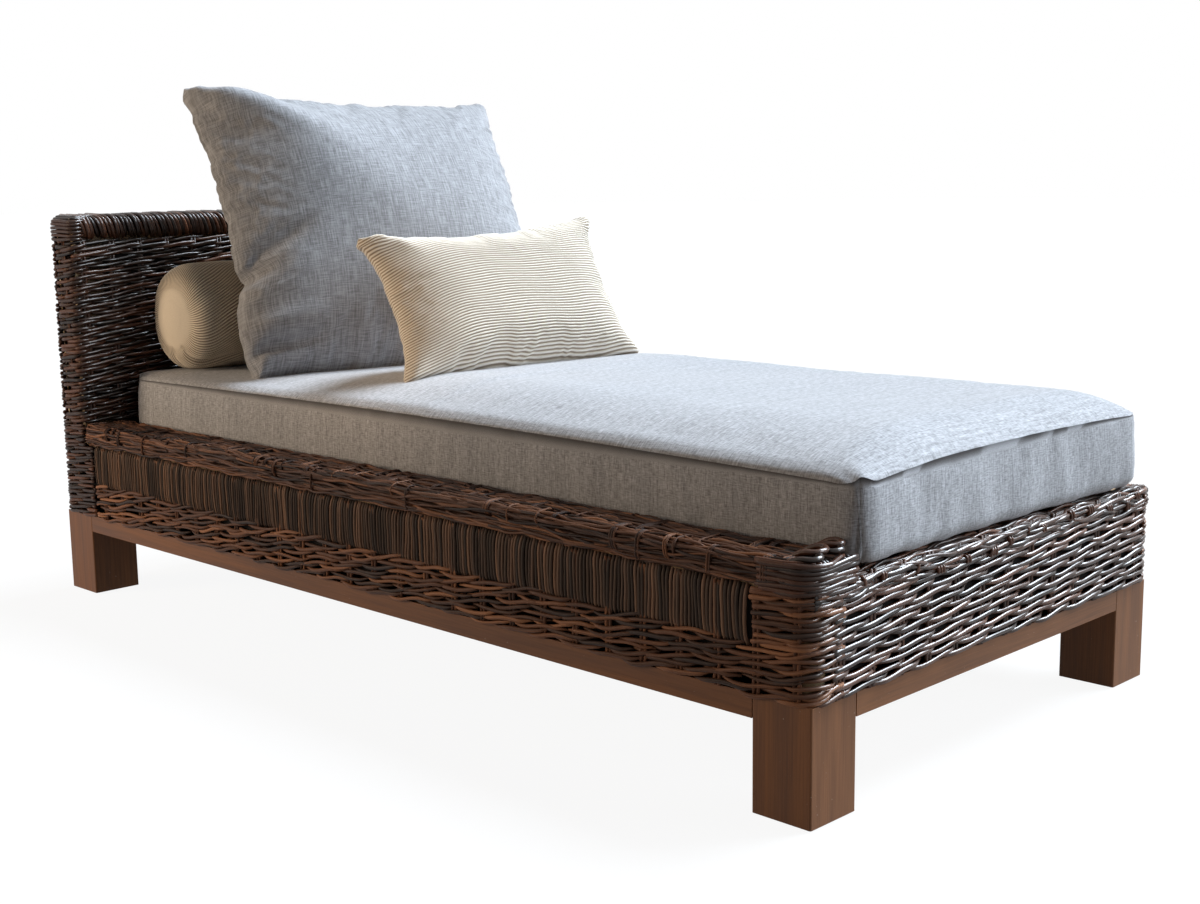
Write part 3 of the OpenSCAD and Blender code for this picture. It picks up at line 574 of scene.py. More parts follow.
def cap_ends(strands, rod):
    """Rows that carry the head panel's two ends up to its top and close over it."""
    rand = strands.random
    r = CAP_R
    straight = HEAD_TOP - r - CAP_BOTTOM
    run = straight + r * math.pi / 2 + 30 * MM
    for k in range(int(run / (0.98 * rod))):
        at = (k + 0.5) * 0.98 * rod
        turn = min(max(at - straight, 0) / r, math.pi / 2)
        inset = r * (1 - math.cos(turn)) + max(0, at - straight - r * math.pi / 2)
        z = CAP_BOTTOM + min(at, straight) + (r - rod / 2) * math.sin(turn)
        plan = Plan(HEAD_X + inset, HEAD_FRONT - inset, NEAR_Y + inset, FAR_Y - inset,
                    max(PANEL_R - inset, 6 * MM), max(CORNER_R - inset, 6 * MM))
        for part in (0, 4):
            _, start, length = plan.parts[part][:3]
            s = np.linspace(start - 65 * MM, start + length + 50 * MM, 40)
            t = np.linspace(0, 1, 40)
            depth = rod * 0.5 * math.cos(turn) + dive(t, 0.12, 0.12) * 8 * MM + rand.uniform(0, 0.8) * MM
            path, out = plan.strand(s, z + 0.7 * MM * np.sin(s * 60 + rand.uniform(0, 6)), depth)
            strands.add(path, out + np.array([0, 0, math.sin(turn)]), rod / 2 * rand.uniform(0.9, 1.05))


# Wicker

DARK, BROWN, ORANGE = (0.02, 0.009, 0.005), (0.15, 0.064, 0.034), (0.52, 0.235, 0.115)
WICKER = wicker("wicker", DARK, BROWN, ORANGE)
# A darker, glossier copy of the wicker for the weave at the foot and the head: its darker colours are
# painted shade
SHADED_GLOSSY = wicker("shaded_glossy_wicker", (0.009, 0.004, 0.0025), (0.055, 0.022, 0.012), (0.21, 0.082, 0.042),
                rough=0.3)
CANE = wicker("cane", (0.032, 0.021, 0.015), (0.145, 0.09, 0.063), (0.43, 0.24, 0.15), rough=0.5)
RIM = wicker("rim_wicker", (0.014, 0.006, 0.0035), (0.095, 0.041, 0.023), (0.40, 0.175, 0.085))
# Near-black wicker for the sheets behind the rods: painted shade
PAINTED_SHADE = wicker("shade_sheet", (0.004, 0.0025, 0.002), (0.008, 0.004, 0.003), (0.012, 0.006, 0.004), rough=0.7)

SIDE_L = FOOT_X - HEAD_X - 2 * CORNER_R
ARC_L = CORNER_R * math.pi / 2
FOOT_L = FAR_Y - NEAR_Y - 2 * CORNER_R
FOOT_S = SIDE_L + ARC_L
FAR_S = FOOT_S + FOOT_L + ARC_L
CANE_HEAD, CANE_FOOT = span("cane_panel_near", 0)
CANE_LOW, CANE_HIGH = span("cane_panel_near", 2)
RIM_LOW, RIM_TOP = span("rim_near", 2)
FOOT_TOP = span("rim_foot", 2)[1]


def near_s(x):
    """The place along the body's outline of an x on its near side."""
    return x - HEAD_X - CORNER_R


def far_s(x):
    """The same on its far side."""
    return FAR_S + FOOT_X - CORNER_R - x


def side_wall(name, seed, node, panel, low, cane, foot_end):
    """One long wall: its low woven band, its canes and the rows between them and the foot."""
    weave, upright = Strands(seed), Strands(seed + 1)
    rod_rows(weave, BODY, *low, BASE_Z, CANE_LOW + 2 * MM,
             rows=7, rod=6.6 * MM, pitch=66 * MM, wave=2.0, tilt=0.9)
    stakes(weave, BODY, *low, BASE_Z, RIM_LOW, pitch=66 * MM, rod=6 * MM)
    rod_rows(weave, BODY, *foot_end, CANE_LOW, RIM_LOW + 2 * MM,
             rows=8, rod=7.2 * MM, pitch=62 * MM, reach=1.9, wave=0.9)
    weave.build(name + "_weave", WICKER, node)
    canes(upright, BODY, *cane, CANE_LOW, CANE_HIGH, pitch=6.5 * MM)
    upright.build(name + "_canes", CANE, panel)


def side_rim(name, seed, node, q0, q1, short):
    """The rim along one side: strands laid lengthwise in two layers, bound here and there.

    q0 and q1 are shares of the way round its section, and short is how far it ends before its node.
    """
    edge = Strands(seed, 0.6)
    bar = Bar("x", *span(node, 1), RIM_LOW, RIM_TOP, 14 * MM)
    x0, x1 = span(node, 0)[0], span(node, 0)[1] - short
    q0, q1 = q0 * bar.length, q1 * bar.length
    bar.shade_sheet(name + "_shade_sheet", x0, x1 - 10 * MM, q0, q1, depth=11.2 * MM)
    underlay(edge, bar, x0, x1, q0, q1, rod=6 * MM, depth=9 * MM)
    lengthwise(edge, bar, x0, x1, q0, q1, rows=int((q1 - q0) / (5.4 * MM)), rod=4.6 * MM)
    bindings(edge, bar, x0, x1, q0, q1, pitch=30 * MM, rod=4 * MM)
    edge.build(name, RIM, node)


# How far the side walls' rows run on round the foot's corner
FOOT_TURN = 34 * MM
side_wall("near", 11, "weave_near", "cane_panel_near", (near_s(CANE_HEAD), FOOT_S + FOOT_TURN),
          (near_s(CANE_HEAD), near_s(CANE_FOOT)), (near_s(CANE_FOOT), FOOT_S + FOOT_TURN))
side_wall("far", 21, "weave_far", "cane_panel_far", (FAR_S - ARC_L, far_s(CANE_HEAD)),
          (far_s(CANE_FOOT), far_s(CANE_HEAD)), (FAR_S - ARC_L, far_s(CANE_FOOT)))
side_rim("near_rim", 51, "rim_near", 0.36, 1.0, short=40 * MM)
side_rim("far_rim", 52, "rim_far", 0.12, 0.86, short=8 * MM)


# Loops over the near rim's end: place along Y, width, reach past the rim's end and lift, in mm
RIM_LOOPS = [(-430, 22, 2, 5), (-409, 28, -7, 10), (-384, 24, 0, 8), (-368, 16, -10, 12)]


def rim_ends():
    """The near rim's end at the foot: strands that drop behind rows round the corner, and loops on top."""
    ends = Strands(35, 1.0, 0.7)
    rand = ends.random
    low, high = span("rim_near", 1)
    x = span("rim_near", 0)[1] - 9 * MM
    over = RIM_TOP - 5 * MM
    r = 14 * MM
    turn = np.linspace(0, math.pi / 2, 8)
    for y in np.arange(low + 26 * MM, high - 3 * MM, 7.2 * MM):
        top = np.column_stack([np.linspace(x - 90 * MM, x - r, 8), np.full(8, y), np.full(8, over)])
        bend = np.column_stack([x - r + r * np.sin(turn), np.full(8, y), over - r + r * np.cos(turn)])
        drop = np.column_stack([np.full(4, x), np.full(4, y),
                                np.linspace(RIM_TOP - 26 * MM, FOOT_TOP - 8 * MM, 4)])
        path = np.concatenate([top, bend, drop])
        path[:, 1] += rand.normal(0, 1.2 * MM) + 2 * MM * np.sin(path[:, 0] * 60 + y * 90)
        bend_out = np.column_stack([np.sin(turn), np.zeros(8), np.cos(turn)])
        out = np.concatenate([np.tile([0, 0, 1.0], (8, 1)), bend_out, np.tile([1.0, 0, 0], (4, 1))])
        ends.add(path, out, 3.6 * MM * rand.uniform(0.8, 1.1))
    rod_rows(ends, BODY, SIDE_L - 60 * MM, FOOT_S + 61 * MM, RIM_LOW, RIM_TOP - 3 * MM,
             rows=6, rod=7.4 * MM, pitch=80 * MM, reach=2.2, sunk=-1.6 * MM)
    for y, width, reach, lift in RIM_LOOPS:
        t = np.linspace(-1, 1, 34)
        bend = np.clip(np.abs(t) * 2 - 1, 0, 1)
        along = x + (reach - 3) * MM - 58 * MM * bend - 14 * MM * (np.abs(t) / 0.5).clip(0, 1) ** 2
        across = y * MM + width / 2 * MM * np.sin(np.clip(t * 2, -1, 1) * math.pi / 2)
        height = RIM_TOP + (lift - 2) * MM - (lift + 8) * MM * smooth(bend * 1.2) + 3 * MM * t
        ends.add(np.column_stack([along, across, height]), np.array([0.45, 0, 0.9]), 4.3 * MM)
    ends.build("near_rim_end", SHADED_GLOSSY)


def width_less(inset):
    """Both ends of the lounger's width, moved in by some mm."""
    return NEAR_Y + inset * MM, FAR_Y - inset * MM


def foot_wall():
    """The foot's wall: level rods over stakes."""
    weave = Strands(31)
    rod_rows(weave, BODY, FOOT_S + 8 * MM, FAR_S - 0.3 * ARC_L, BASE_Z, FOOT_TOP - 8 * MM,
             rows=13, rod=7.9 * MM, pitch=80 * MM, reach=1.6, tilt=0.42, wave=0.9)
    stakes(weave, BODY, FOOT_S, FAR_S - ARC_L, BASE_Z, FOOT_TOP - 4 * MM, pitch=66 * MM, rod=6.5 * MM)
    weave.build("foot_weave", SHADED_GLOSSY, "weave_foot")


def foot_rim():
    """The rim over the foot: two layers of long strands, bound with light ones."""
    edge = Strands(32, 1.0, 0.5)
    bar = Bar("y", *span("rim_foot", 0), *span("rim_foot", 2), 14 * MM)
    q = bar.length
    bar.shade_sheet("foot_rim_shade_sheet", *width_less(20), 0.2 * q, 0.6 * q, depth=11 * MM)
    underlay(edge, bar, *width_less(14), 0.24 * q, 0.6 * q, rod=6.5 * MM, depth=8.2 * MM)
    lengthwise(edge, bar, *width_less(14), 0.30 * q, 0.6 * q, rows=9, rod=6.8 * MM)
    bindings(edge, bar, *width_less(20), 0.30 * q, 0.46 * q, pitch=58 * MM, rod=6 * MM, tone=0.9)
    edge.build("foot_rim", SHADED_GLOSSY, "rim_foot")


def head_walls():
    """The body's wall at the head, and the four walls of the head panel over it."""
    weave = Strands(41)
    under = (far_s(CANE_HEAD), BODY.length + near_s(CANE_HEAD))
    beside_rims = (far_s(HEAD_FRONT), BODY.length + near_s(HEAD_FRONT))
    whole = (0, PANEL.length)
    last_row = CAP_BOTTOM - 8 * MM
    pitch = 62 * MM
    rod_rows(weave, BODY, *under, BASE_Z, RIM_LOW, rows=15, rod=7.4 * MM, pitch=pitch)
    rod_rows(weave, BODY, *beside_rims, RIM_LOW, RIM_TOP, rows=5, rod=7.4 * MM, pitch=pitch)
    rod_rows(weave, PANEL, *whole, RIM_TOP, last_row, rows=31, rod=8.4 * MM, pitch=pitch)
    rod_rows(weave, PANEL, *whole, last_row, CAP_BOTTOM + 2 * MM,
             rows=1, rod=7.4 * MM, pitch=pitch, sunk=3 * MM)
    stakes(weave, PANEL, *whole, BASE_Z, CAP_BOTTOM, pitch, rod=6 * MM)
    weave.build("head_weave", SHADED_GLOSSY,
                "head_weave_back", "head_weave_front", "head_weave_near", "head_weave_far")


def head_cap():
    """The head panel's cap: strands wound round it, and rows that close its two ends."""
    cap = Strands(42, 1.0, 0.8)
    bar = Bar("y", HEAD_X, HEAD_FRONT, CAP_BOTTOM, HEAD_TOP, CAP_R)
    bar.shade_sheet("cap_shade_sheet", *width_less(30), 0, bar.length, depth=9.5 * MM)
    wraps(cap, bar, *width_less(24), pitch=9.2 * MM, rod=9 * MM, slant=15 * MM, middle=0.38)
    cap_ends(cap, rod=7.6 * MM)
    cap.build("head_cap_wrap", SHADED_GLOSSY, "head_cap")


rim_ends()
foot_wall()
foot_rim()
head_walls()
head_cap()
shade_sheet("body_shade_sheet", BODY, RIM_LOW)
shade_sheet("panel_shade_sheet", PANEL, HEAD_TOP - WALL)


# Cushions

def smooth_rows(count, factor):
    """Weights that turn count values into factor times as many, on a smooth curve."""
    fine = np.linspace(0, count - 1, (count - 1) * factor + 1)
    first = np.clip(fine.astype(int), 0, count - 2)
    t = fine - first
    weights = np.zeros((len(fine), count))
    basis = (-0.5 * t + t ** 2 - 0.5 * t ** 3, 1 - 2.5 * t ** 2 + 1.5 * t ** 3,
             0.5 * t + 2 * t ** 2 - 1.5 * t ** 3, -0.5 * t ** 2 + 0.5 * t ** 3)
    rows = np.arange(len(fine))
    for shift, weight in zip((-1, 0, 1, 2), basis):
        at = first + shift
        beyond_low, beyond_high = at < 0, at > count - 1
        inner = ~(beyond_low | beyond_high)
        np.add.at(weights, (rows[inner], at[inner]), weight[inner])
        for bad, edge, next_in in ((beyond_low, 0, 1), (beyond_high, count - 1, count - 2)):
            np.add.at(weights, (rows[bad], np.full(bad.sum(), edge)), 2 * weight[bad])
            np.add.at(weights, (rows[bad], np.full(bad.sum(), next_in)), -weight[bad])
    return weights


def finer(grid, factor_u, factor_v):
    """A grid of points with more rows and columns between its own."""
    a, b = smooth_rows(grid.shape[0], factor_u), smooth_rows(grid.shape[1], factor_v)
    return np.einsum("iu,uvc,jv->ijc", a, grid, b)


def two_faced(front, back, cloth):
    """One closed mesh from two grids that share their edge."""
    nu, nv = front.shape[:2]
    index = np.arange(nu * nv).reshape(nu, nv)
    behind = index + nu * nv
    for edge in (np.s_[0, :], np.s_[-1, :], np.s_[:, 0], np.s_[:, -1]):
        behind[edge] = index[edge]
    used, packed = np.unique(np.concatenate([index.ravel(), behind.ravel()]), return_inverse=True)
    points = np.concatenate([front.reshape(-1, 3), back.reshape(-1, 3)])[used]
    layers = np.concatenate([cloth.reshape(-1, 3), cloth.reshape(-1, 3)])[used]
    both = packed.reshape(2, nu, nv)
    faces = np.concatenate([grid_faces(both[0], False), grid_faces(both[1], True)])
    return points, faces, layers, both


def blow_up(points, faces, pressure, frames):
    """Where cloth with these points gets to when it is blown up for some frames."""
    mesh = bpy.data.meshes.new("blow_up")
    mesh.from_pydata(points.tolist(), [], faces.tolist())
    piece = add_object("blow_up", mesh)
    cloth = piece.modifiers.new("cloth", "CLOTH")
    cloth.settings.use_pressure = True
    cloth.settings.uniform_pressure_force = pressure
    cloth.settings.effector_weights.gravity = 0
    cloth.point_cache.frame_end = frames
    for frame_number in range(1, frames + 1):
        bpy.context.scene.frame_set(frame_number)
    moved = np.empty(len(points) * 3, np.float32)
    shape = piece.evaluated_get(bpy.context.evaluated_depsgraph_get())
    shape.data.vertices.foreach_get("co", moved)
    bpy.data.objects.remove(piece)
    bpy.context.scene.frame_set(1)
    return moved.reshape(-1, 3).astype(float)


def ripples(grid, axis, reach, loop=False):
    """What is left of a grid of points when it is made smooth along one axis."""
    grid = np.moveaxis(grid, axis, 0)
    if loop:
        padded = np.concatenate([grid[-3 * reach:], grid, grid[:3 * reach]])
    else:
        before, after = grid[3 * reach:0:-1], grid[-2:-3 * reach - 2:-1]
        padded = np.concatenate([2 * grid[:1] - before, grid, 2 * grid[-1:] - after])
    shifts = np.arange(-3 * reach, 3 * reach + 1)
    weights = np.exp(-(shifts / reach) ** 2 / 2)
    windows = (padded[k:k + len(grid)] for k in shifts + 3 * reach)
    mean = sum(w * window for w, window in zip(weights / weights.sum(), windows))
    return np.moveaxis(grid - mean, 0, axis)


def capped(shift, limit):
    """Shifts no longer than a limit."""
    length = np.linalg.norm(shift, axis=-1, keepdims=True)
    return shift * np.minimum(1, limit / np.maximum(length, 1e-9))


def fold(x, y, start, end, depth, width):
    """Depth of a soft groove along a line, which fades towards its end. A negative depth is a ridge."""
    ahead = np.subtract(end, start)
    t = np.clip(((x - start[0]) * ahead[0] + (y - start[1]) * ahead[1]) / (ahead @ ahead), 0, 1)
    off = np.hypot(x - start[0] - t * ahead[0], y - start[1] - t * ahead[1])
    return depth * np.exp(-(off / width) ** 2) * smooth((1 - t) / 0.75)


class Pillow:
    """A knife-edged pillow, stood on its lower edge and leant back. u runs across it and v up."""

    def __init__(self, width, height, thick, pull, shoulder, bow, droop,
                 lean, turn, foot, columns, rows, folds):
        """pull draws the seams in between the corners, shoulder is the share of the pillow over which it
        swells, bow bends it forwards, and droop lowers its two upper corners."""
        self.width, self.height, self.thick, self.pull = width, height, thick, pull
        self.shoulder, self.bow, self.droop, self.foot, self.folds = shoulder, bow, droop, foot, folds
        self.lean, self.turn = math.radians(lean), math.radians(turn)
        self.u, self.v = np.meshgrid(np.linspace(-1, 1, columns), np.linspace(-1, 1, rows), indexing="ij")

    def form(self, side):
        """Points of one face in the pillow's own frame: across, up and out of it."""
        u, v = self.u, self.v
        x = self.width / 2 * u - self.pull * u ** 3 * (1 - v ** 2)
        upper = np.where(v > 0, self.pull * v ** 3 * (1 - u ** 2), 0)
        y = self.height / 2 * (1 + v) - upper
        y = y - (self.droop[0] * (1 - u) + self.droop[1] * (1 + u)) * (1 + v) / 4
        a, b = np.maximum(1 - np.abs(u), 1e-4), np.maximum(1 - np.abs(v), 1e-4)
        inward = (a ** -3 + b ** -3) ** (-1 / 3)
        rise = (1 - (1 - np.minimum(inward / self.shoulder, 1)) ** 2) ** 0.62
        full = rise * (0.72 + 0.28 * (1 - u ** 2) * (1 - v ** 2)) * (1 - 0.1 * v)
        z = side * self.thick / 2 * full + self.bow * (1 - v ** 2)
        if side > 0:
            across, up = self.width / 2 * u, self.height / 2 * v
            for start, end, depth, width in self.folds:
                ends = [(self.width / 2 * a, self.height / 2 * b) for a, b in (start, end)]
                groove = fold(across, up, *ends, depth * MM, width * MM)
                z = z - groove * np.minimum(1, 0.15 + inward * 8)
        return np.stack([x, y, z], -1)

    def puckers(self, limit):
        """Ripples beside the seams, from two flat panels sewn together and blown up."""
        u, v, reach = self.u, self.v, 4
        uneven = np.random.default_rng(len(u)).normal(0, 0.5 * MM, u.shape)
        gap = 25 * MM * ((1 - u ** 2) * (1 - v ** 2)) ** 0.5
        flat = [np.stack([self.width / 2 * u, self.height / 2 * v, side * gap + uneven], -1)
                for side in (1, -1)]
        points, faces, _, both = two_faced(*flat, flat[0])
        moved = blow_up(points, faces, pressure=4.0, frames=20)
        by_u = np.exp(-((1 - np.abs(v)) / 0.3) ** 2)[..., None]
        by_v = np.exp(-((1 - np.abs(u)) / 0.3) ** 2)[..., None]
        return [capped(ripples(face, 0, reach) * by_u + ripples(face, 1, reach) * by_v, limit)
                for face in moved[both]]

    def stand(self, local):
        """Points of the own frame moved to the pillow's place."""
        x, y, z = local[..., 0], local[..., 1], local[..., 2]
        back = y * math.sin(self.lean) - z * math.cos(self.lean)
        cos, sin = math.cos(self.turn), math.sin(self.turn)
        return np.stack([self.foot[0] - back * cos - x * sin, self.foot[1] - back * sin + x * cos,
                         self.foot[2] + y * math.cos(self.lean) + z * math.sin(self.lean)], -1)


TOP_LINEN = grey_linen("grey_linen", shade=1.02, long=75.0, relief=0.2)
# A darker copy of the grey linen, with its own weave, for the back pillow: its darker tone is painted shade
SHADED_BACK_LINEN = grey_linen("shaded_back_linen", shade=0.84, long=28.0, relief=0.3)
CREAM = cream_rib("cream_rib", light=(0.84, 0.79, 0.71))
# A lighter, warmer copy of the cream for the bolster: painted light, standing in for warm lamp light
PAINTED_LIT_CREAM = cream_rib("bolster_rib", light=(0.97, 0.86, 0.70))

# Folds of a pillow's front: start and end as shares of its half width and half height, then depth and
# width in mm. A negative depth is a ridge.
BACK_FOLDS = [
    ((-1.02, -0.37), (-0.50, -0.10), 17, 15),
    ((-0.97, -0.52), (-0.55, -0.30), -9, 30),
    ((-1.00, -0.86), (-0.42, -0.80), 27, 13),
    ((-1.00, -0.74), (-0.50, -0.68), -8, 17),
    ((-0.98, -0.97), (-0.45, -0.94), -10, 14),
    ((-0.92, 0.97), (-0.12, 0.28), -17, 38),
    ((-0.62, 1.00), (-0.38, 0.74), 8, 20),
    ((-1.00, 0.66), (-0.50, 0.25), 9, 60),
    ((-0.72, 0.80), (0.50, -0.60), -24, 105),
    ((0.90, 0.97), (0.55, 0.45), 4, 16),
    ((0.70, 1.00), (0.36, 0.55), 3.5, 18),
    ((0.97, 0.78), (0.72, 0.30), 3, 18),
    ((0.45, 1.00), (0.10, 0.62), 2.5, 20),
    ((0.20, 0.95), (-0.15, 0.55), 2, 20),
]
LUMBAR_FOLDS = [
    ((-0.97, -0.96), (-0.62, -0.50), 5, 12),
    ((-0.90, 0.96), (-0.66, 0.52), -5, 14),
    ((0.96, 0.96), (0.72, 0.55), -4, 12),
    ((0.30, -0.98), (0.22, -0.55), 1.2, 14),
    ((-0.25, -0.98), (-0.30, -0.60), 1.2, 14),
    ((0.80, -0.98), (0.60, -0.55), 1.5, 12),
]
BACK = Pillow(width=0.676, height=0.628, thick=0.245, pull=0.017, shoulder=0.62, bow=0.039,
              droop=(0, 0.026), lean=28, turn=-13, foot=(-0.4320, 0.0365, 0.4464),
              columns=77, rows=71, folds=BACK_FOLDS)
LUMBAR = Pillow(width=0.546, height=0.314, thick=0.156, pull=0.021, shoulder=0.5, bow=0.0,
                droop=(0.034, 0.010), lean=28, turn=-2, foot=(-0.0726, 0.0350, 0.4724),
                columns=57, rows=37, folds=LUMBAR_FOLDS)


def pinch_edge(face, pillow):
    """Draws the near edge of the back pillow in at one place, and lets it swell below that."""
    u, v = pillow.u, pillow.v
    edge = smooth((-u - 0.72) / 0.28)
    waves = 1.0 * np.sin(v * 21) + 0.7 * np.sin(v * 47 + 1)
    pinch = 13 * np.exp(-((v + 0.40) / 0.055) ** 2) - 8 * np.exp(-((v + 0.62) / 0.16) ** 2)
    face[..., 0] += edge * (pinch + waves) * MM


def corners(face, pillow, size, rise, reach, tuck):
    """Lifts the upper corners into small tucked ears, and tucks the lower ones in."""
    u, v = pillow.u, pillow.v
    for side in (-1, 1):
        away = np.hypot((1 - side * u) * pillow.width / 2, (1 - v) * pillow.height / 2)
        near = smooth(1 - away / size)
        face[..., 0] += side * reach * near
        face[..., 1] += near * rise * (1 + 0.5 * np.sin(away * 260))
        face[..., 2] += near * rise * 0.9 * np.cos(away * 190)
        tip = smooth(1 - away / (22 * MM))
        face[..., 0] -= side * 8 * MM * tip
        face[..., 1] -= 7 * MM * tip
        away = np.hypot((1 - side * u) * pillow.width / 2, (1 + v) * pillow.height / 2)
        near = smooth(1 - away / (1.5 * size))
        face[..., 0] -= side * tuck * near ** 2
        face[..., 1] -= 0.35 * abs(tuck) * near ** 2


def make_pillow(name, pillow, material, body, nodes, rib=None):
    """A padded pillow, plain or with level ribs at a pitch of rib."""
    ripple, ears = (1.5, (60, 5, 17, -14)) if rib else (2.8, (46, 6, 3, 15))
    rough = [pillow.form(side) + shift for side, shift in zip((1, -1), pillow.puckers(ripple * MM))]
    for face in rough:
        if not rib:
            pinch_edge(face, pillow)
        corners(face, pillow, *(size * MM for size in ears))
    faces = [finer(face, 2, 8 if rib else 2) for face in rough]
    nu, nv = faces[0].shape[:2]
    u, v = np.meshgrid(np.linspace(-1, 1, nu), np.linspace(-1, 1, nv), indexing="ij")
    cloth = np.stack([u * pillow.width / 2, v * pillow.height / 2, np.full_like(u, 0.5)], -1)
    edge = np.minimum((1 - np.abs(u)) * pillow.width, (1 - np.abs(v)) * pillow.height) / 2
    if rib:
        bend = 3 * MM * np.sin(cloth[..., 0] * 15) + 1.3 * MM * np.sin(cloth[..., 0] * 39 + v * 5)
        bend = bend + 34 * MM * smooth((-u - 0.45) / 0.5) * (-u - 0.45)
        wave = 0.5 + 0.5 * np.cos(2 * math.pi * (cloth[..., 1] + bend) / rib)
        # The ribs' tone, low in the grooves: painted shade between the ribs
        cloth[..., 2] = wave
        for face, side in zip(faces, (1, -1)):
            normal = unit(np.cross(np.gradient(face, axis=0), np.gradient(face, axis=1)))
            rise = (wave - 0.5) * 2.0 * MM * np.clip(edge / (9 * MM), 0, 1)
            face += normal * rise[..., None] * side
    else:
        # Darker within a few mm of the edges: painted shade at the seams
        cloth[..., 2] = 0.33 + 0.17 * smooth(edge / (4 * MM))
    points, quads, layers, _ = two_faced(pillow.stand(faces[0]), pillow.stand(faces[1]), cloth)
    piece = build(name, points, quads, material, body, {"cloth": layers})
    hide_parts(*nodes)


make_pillow("back_pillow", BACK, SHADED_BACK_LINEN, "back_pillow",
            ("back_pillow_cover", "back_pillow_insert"))
make_pillow("lumbar_pillow", LUMBAR, CREAM, "lumbar_pillow",
            ("lumbar_pillow_cover", "lumbar_pillow_insert"), rib=5.6 * MM)


def rim_of(grid):
    """The outermost points of a grid, once round."""
    return np.concatenate([grid[:-1, 0], grid[-1, :-1], grid[:0:-1, -1], grid[0, :0:-1]])


class Mattress:
    """A boxed cushion: a crowned top with a seam round it, swelling walls and a flat underside."""

    SEAM_H, CROWN_H, CROWN_SAG = 115 * MM, 42 * MM, 34 * MM
    SHOULDER, CORNER, PULL, SEAM_IN, BASE_ROUND = 100 * MM, 36 * MM, 5 * MM, 3.5 * MM, 20 * MM
    SEAM_DROP, STEEP, NEAR_SHOULDER = 19 * MM, 24 * MM, 190 * MM
    SAG_START, SAG_RUN = 80.5 * MM, 620 * MM
    CELL = 14 * MM
    WALL_ROWS = (0, 0.012, 0.026, 0.05, 0.1, 0.18, 0.3, 0.42, 0.55, 0.68, 0.79, 0.86, 0.92, 0.965, 1.0)

    def __init__(self, low, high):
        self.low, self.high = low, high
        self.centre = (low + high) / 2
        self.half = (high - low) / 2
        self.seam_z = low.z + self.SEAM_H

    def lines(self, half):
        """Places of the grid lines from one seam to the other, closer near the seams."""
        edge = np.array([0, 0.03, 0.3, 1, 2.2, 4, 7, 11.5, 17, 25, 37]) * MM
        middle = np.linspace(-half + 49 * MM, half - 49 * MM, 1 + round((2 * half - 98 * MM) / self.CELL))
        return np.concatenate([-half + edge, middle, half - edge[::-1]])

    def round_corners(self, x, y, hx, hy):
        """Moves points near the corners of a rectangle so that its outline is round there."""
        r = self.CORNER
        a, b = np.clip((np.abs(x) - hx + r) / r, 0, 1), np.clip((np.abs(y) - hy + r) / r, 0, 1)
        ca, cb = a * np.sqrt(1 - b ** 2 / 2), b * np.sqrt(1 - a ** 2 / 2)
        return (np.sign(x) * (np.abs(x) + (ca - a) * r), np.sign(y) * (np.abs(y) + (cb - b) * r))

    def plan(self, x, y, inset):
        """The seam's rectangle moved in by inset, with its sides drawn in between the corners."""
        hx, hy = self.half.x - self.SEAM_IN, self.half.y - self.SEAM_IN
        x, y = self.round_corners(x, y, hx, hy)
        kx, ky = (self.half.x - inset) / hx, (self.half.y - inset) / hy
        drawn_x = self.PULL * (1 - (y / hy) ** 2) * np.abs(x / hx) ** 3
        drawn_y = self.PULL * (1 - (x / hx) ** 2) * np.abs(y / hy) ** 3
        return (self.centre.x + x * kx - np.sign(x) * drawn_x,
                self.centre.y + y * ky - np.sign(y) * drawn_y)

    def seam(self, x, y):
        """Height of the seam, which hangs lowest along the middle of the near side."""
        near = (self.high.y - y) / (2 * self.half.y)
        along = (x - self.centre.x) / self.half.x
        return self.seam_z - self.SEAM_DROP * near * (1 - 0.45 * along ** 2)

    def steep(self, inset):
        """Share of a round shoulder's height at a distance from the seam."""
        return np.sqrt(1 - (1 - np.clip(inset / self.STEEP, 0, 1)) ** 2)

    def top(self, x, y):
        """Height of the top: a round shoulder over the seam, then a crown."""
        inset_x = np.minimum(x - self.low.x, self.high.x - x) - self.SEAM_IN
        near_y, far_y = y - self.low.y - self.SEAM_IN, self.high.y - y - self.SEAM_IN
        tx, ty = np.clip(inset_x / self.SHOULDER, 0, 1), np.clip(far_y / self.SHOULDER, 0, 1)
        near = 1 - (1 - np.clip(near_y / self.NEAR_SHOULDER, 0, 1)) ** 1.7
        rise = self.CROWN_H - self.CROWN_SAG * smooth((self.SAG_START - x) / self.SAG_RUN)
        edge = (1 - (1 - tx) ** 2.2) * (1 - (1 - ty) ** 2.2)
        seam = self.seam(x, y)
        shoulder = 1.45 * (self.seam_z - seam) * self.steep(np.minimum.reduce([inset_x, near_y, far_y]))
        return seam + shoulder + rise * near * edge ** 0.75

    def sag(self, x, y):
        """Soft hollows in the top where the cover lies loose, down from its crown."""
        loose = 1.3 * np.sin(x * 9.1 + y * 4) + 0.9 * np.sin(x * 17 - y * 11 + 1)
        loose = loose + 0.7 * np.sin(x * 4 + y * 23)
        inside = np.clip(np.minimum(x - self.low.x, self.high.x - x) / (60 * MM), 0, 1)
        inside = inside * np.clip(np.minimum(y - self.low.y, self.high.y - y) / (60 * MM), 0, 1)
        return (loose - 2.9) * 0.7 * MM * inside * (x > self.SAG_START)

    def tucks(self, x, y):
        """Depth of the small folds at the top's corners, beside the seam along the sides."""
        depth = 0.0
        for end, away in ((self.low.x, 1), (self.high.x, -1)):
            for side, inner in ((self.low.y, 1), (self.high.y, -1)):
                start = (end + 14 * away * MM, side + 6 * inner * MM)
                tip = (end + 52 * away * MM, side + 24 * inner * MM)
                depth = depth + fold(x, y, start, tip, 5 * MM, 8 * MM)
        return depth

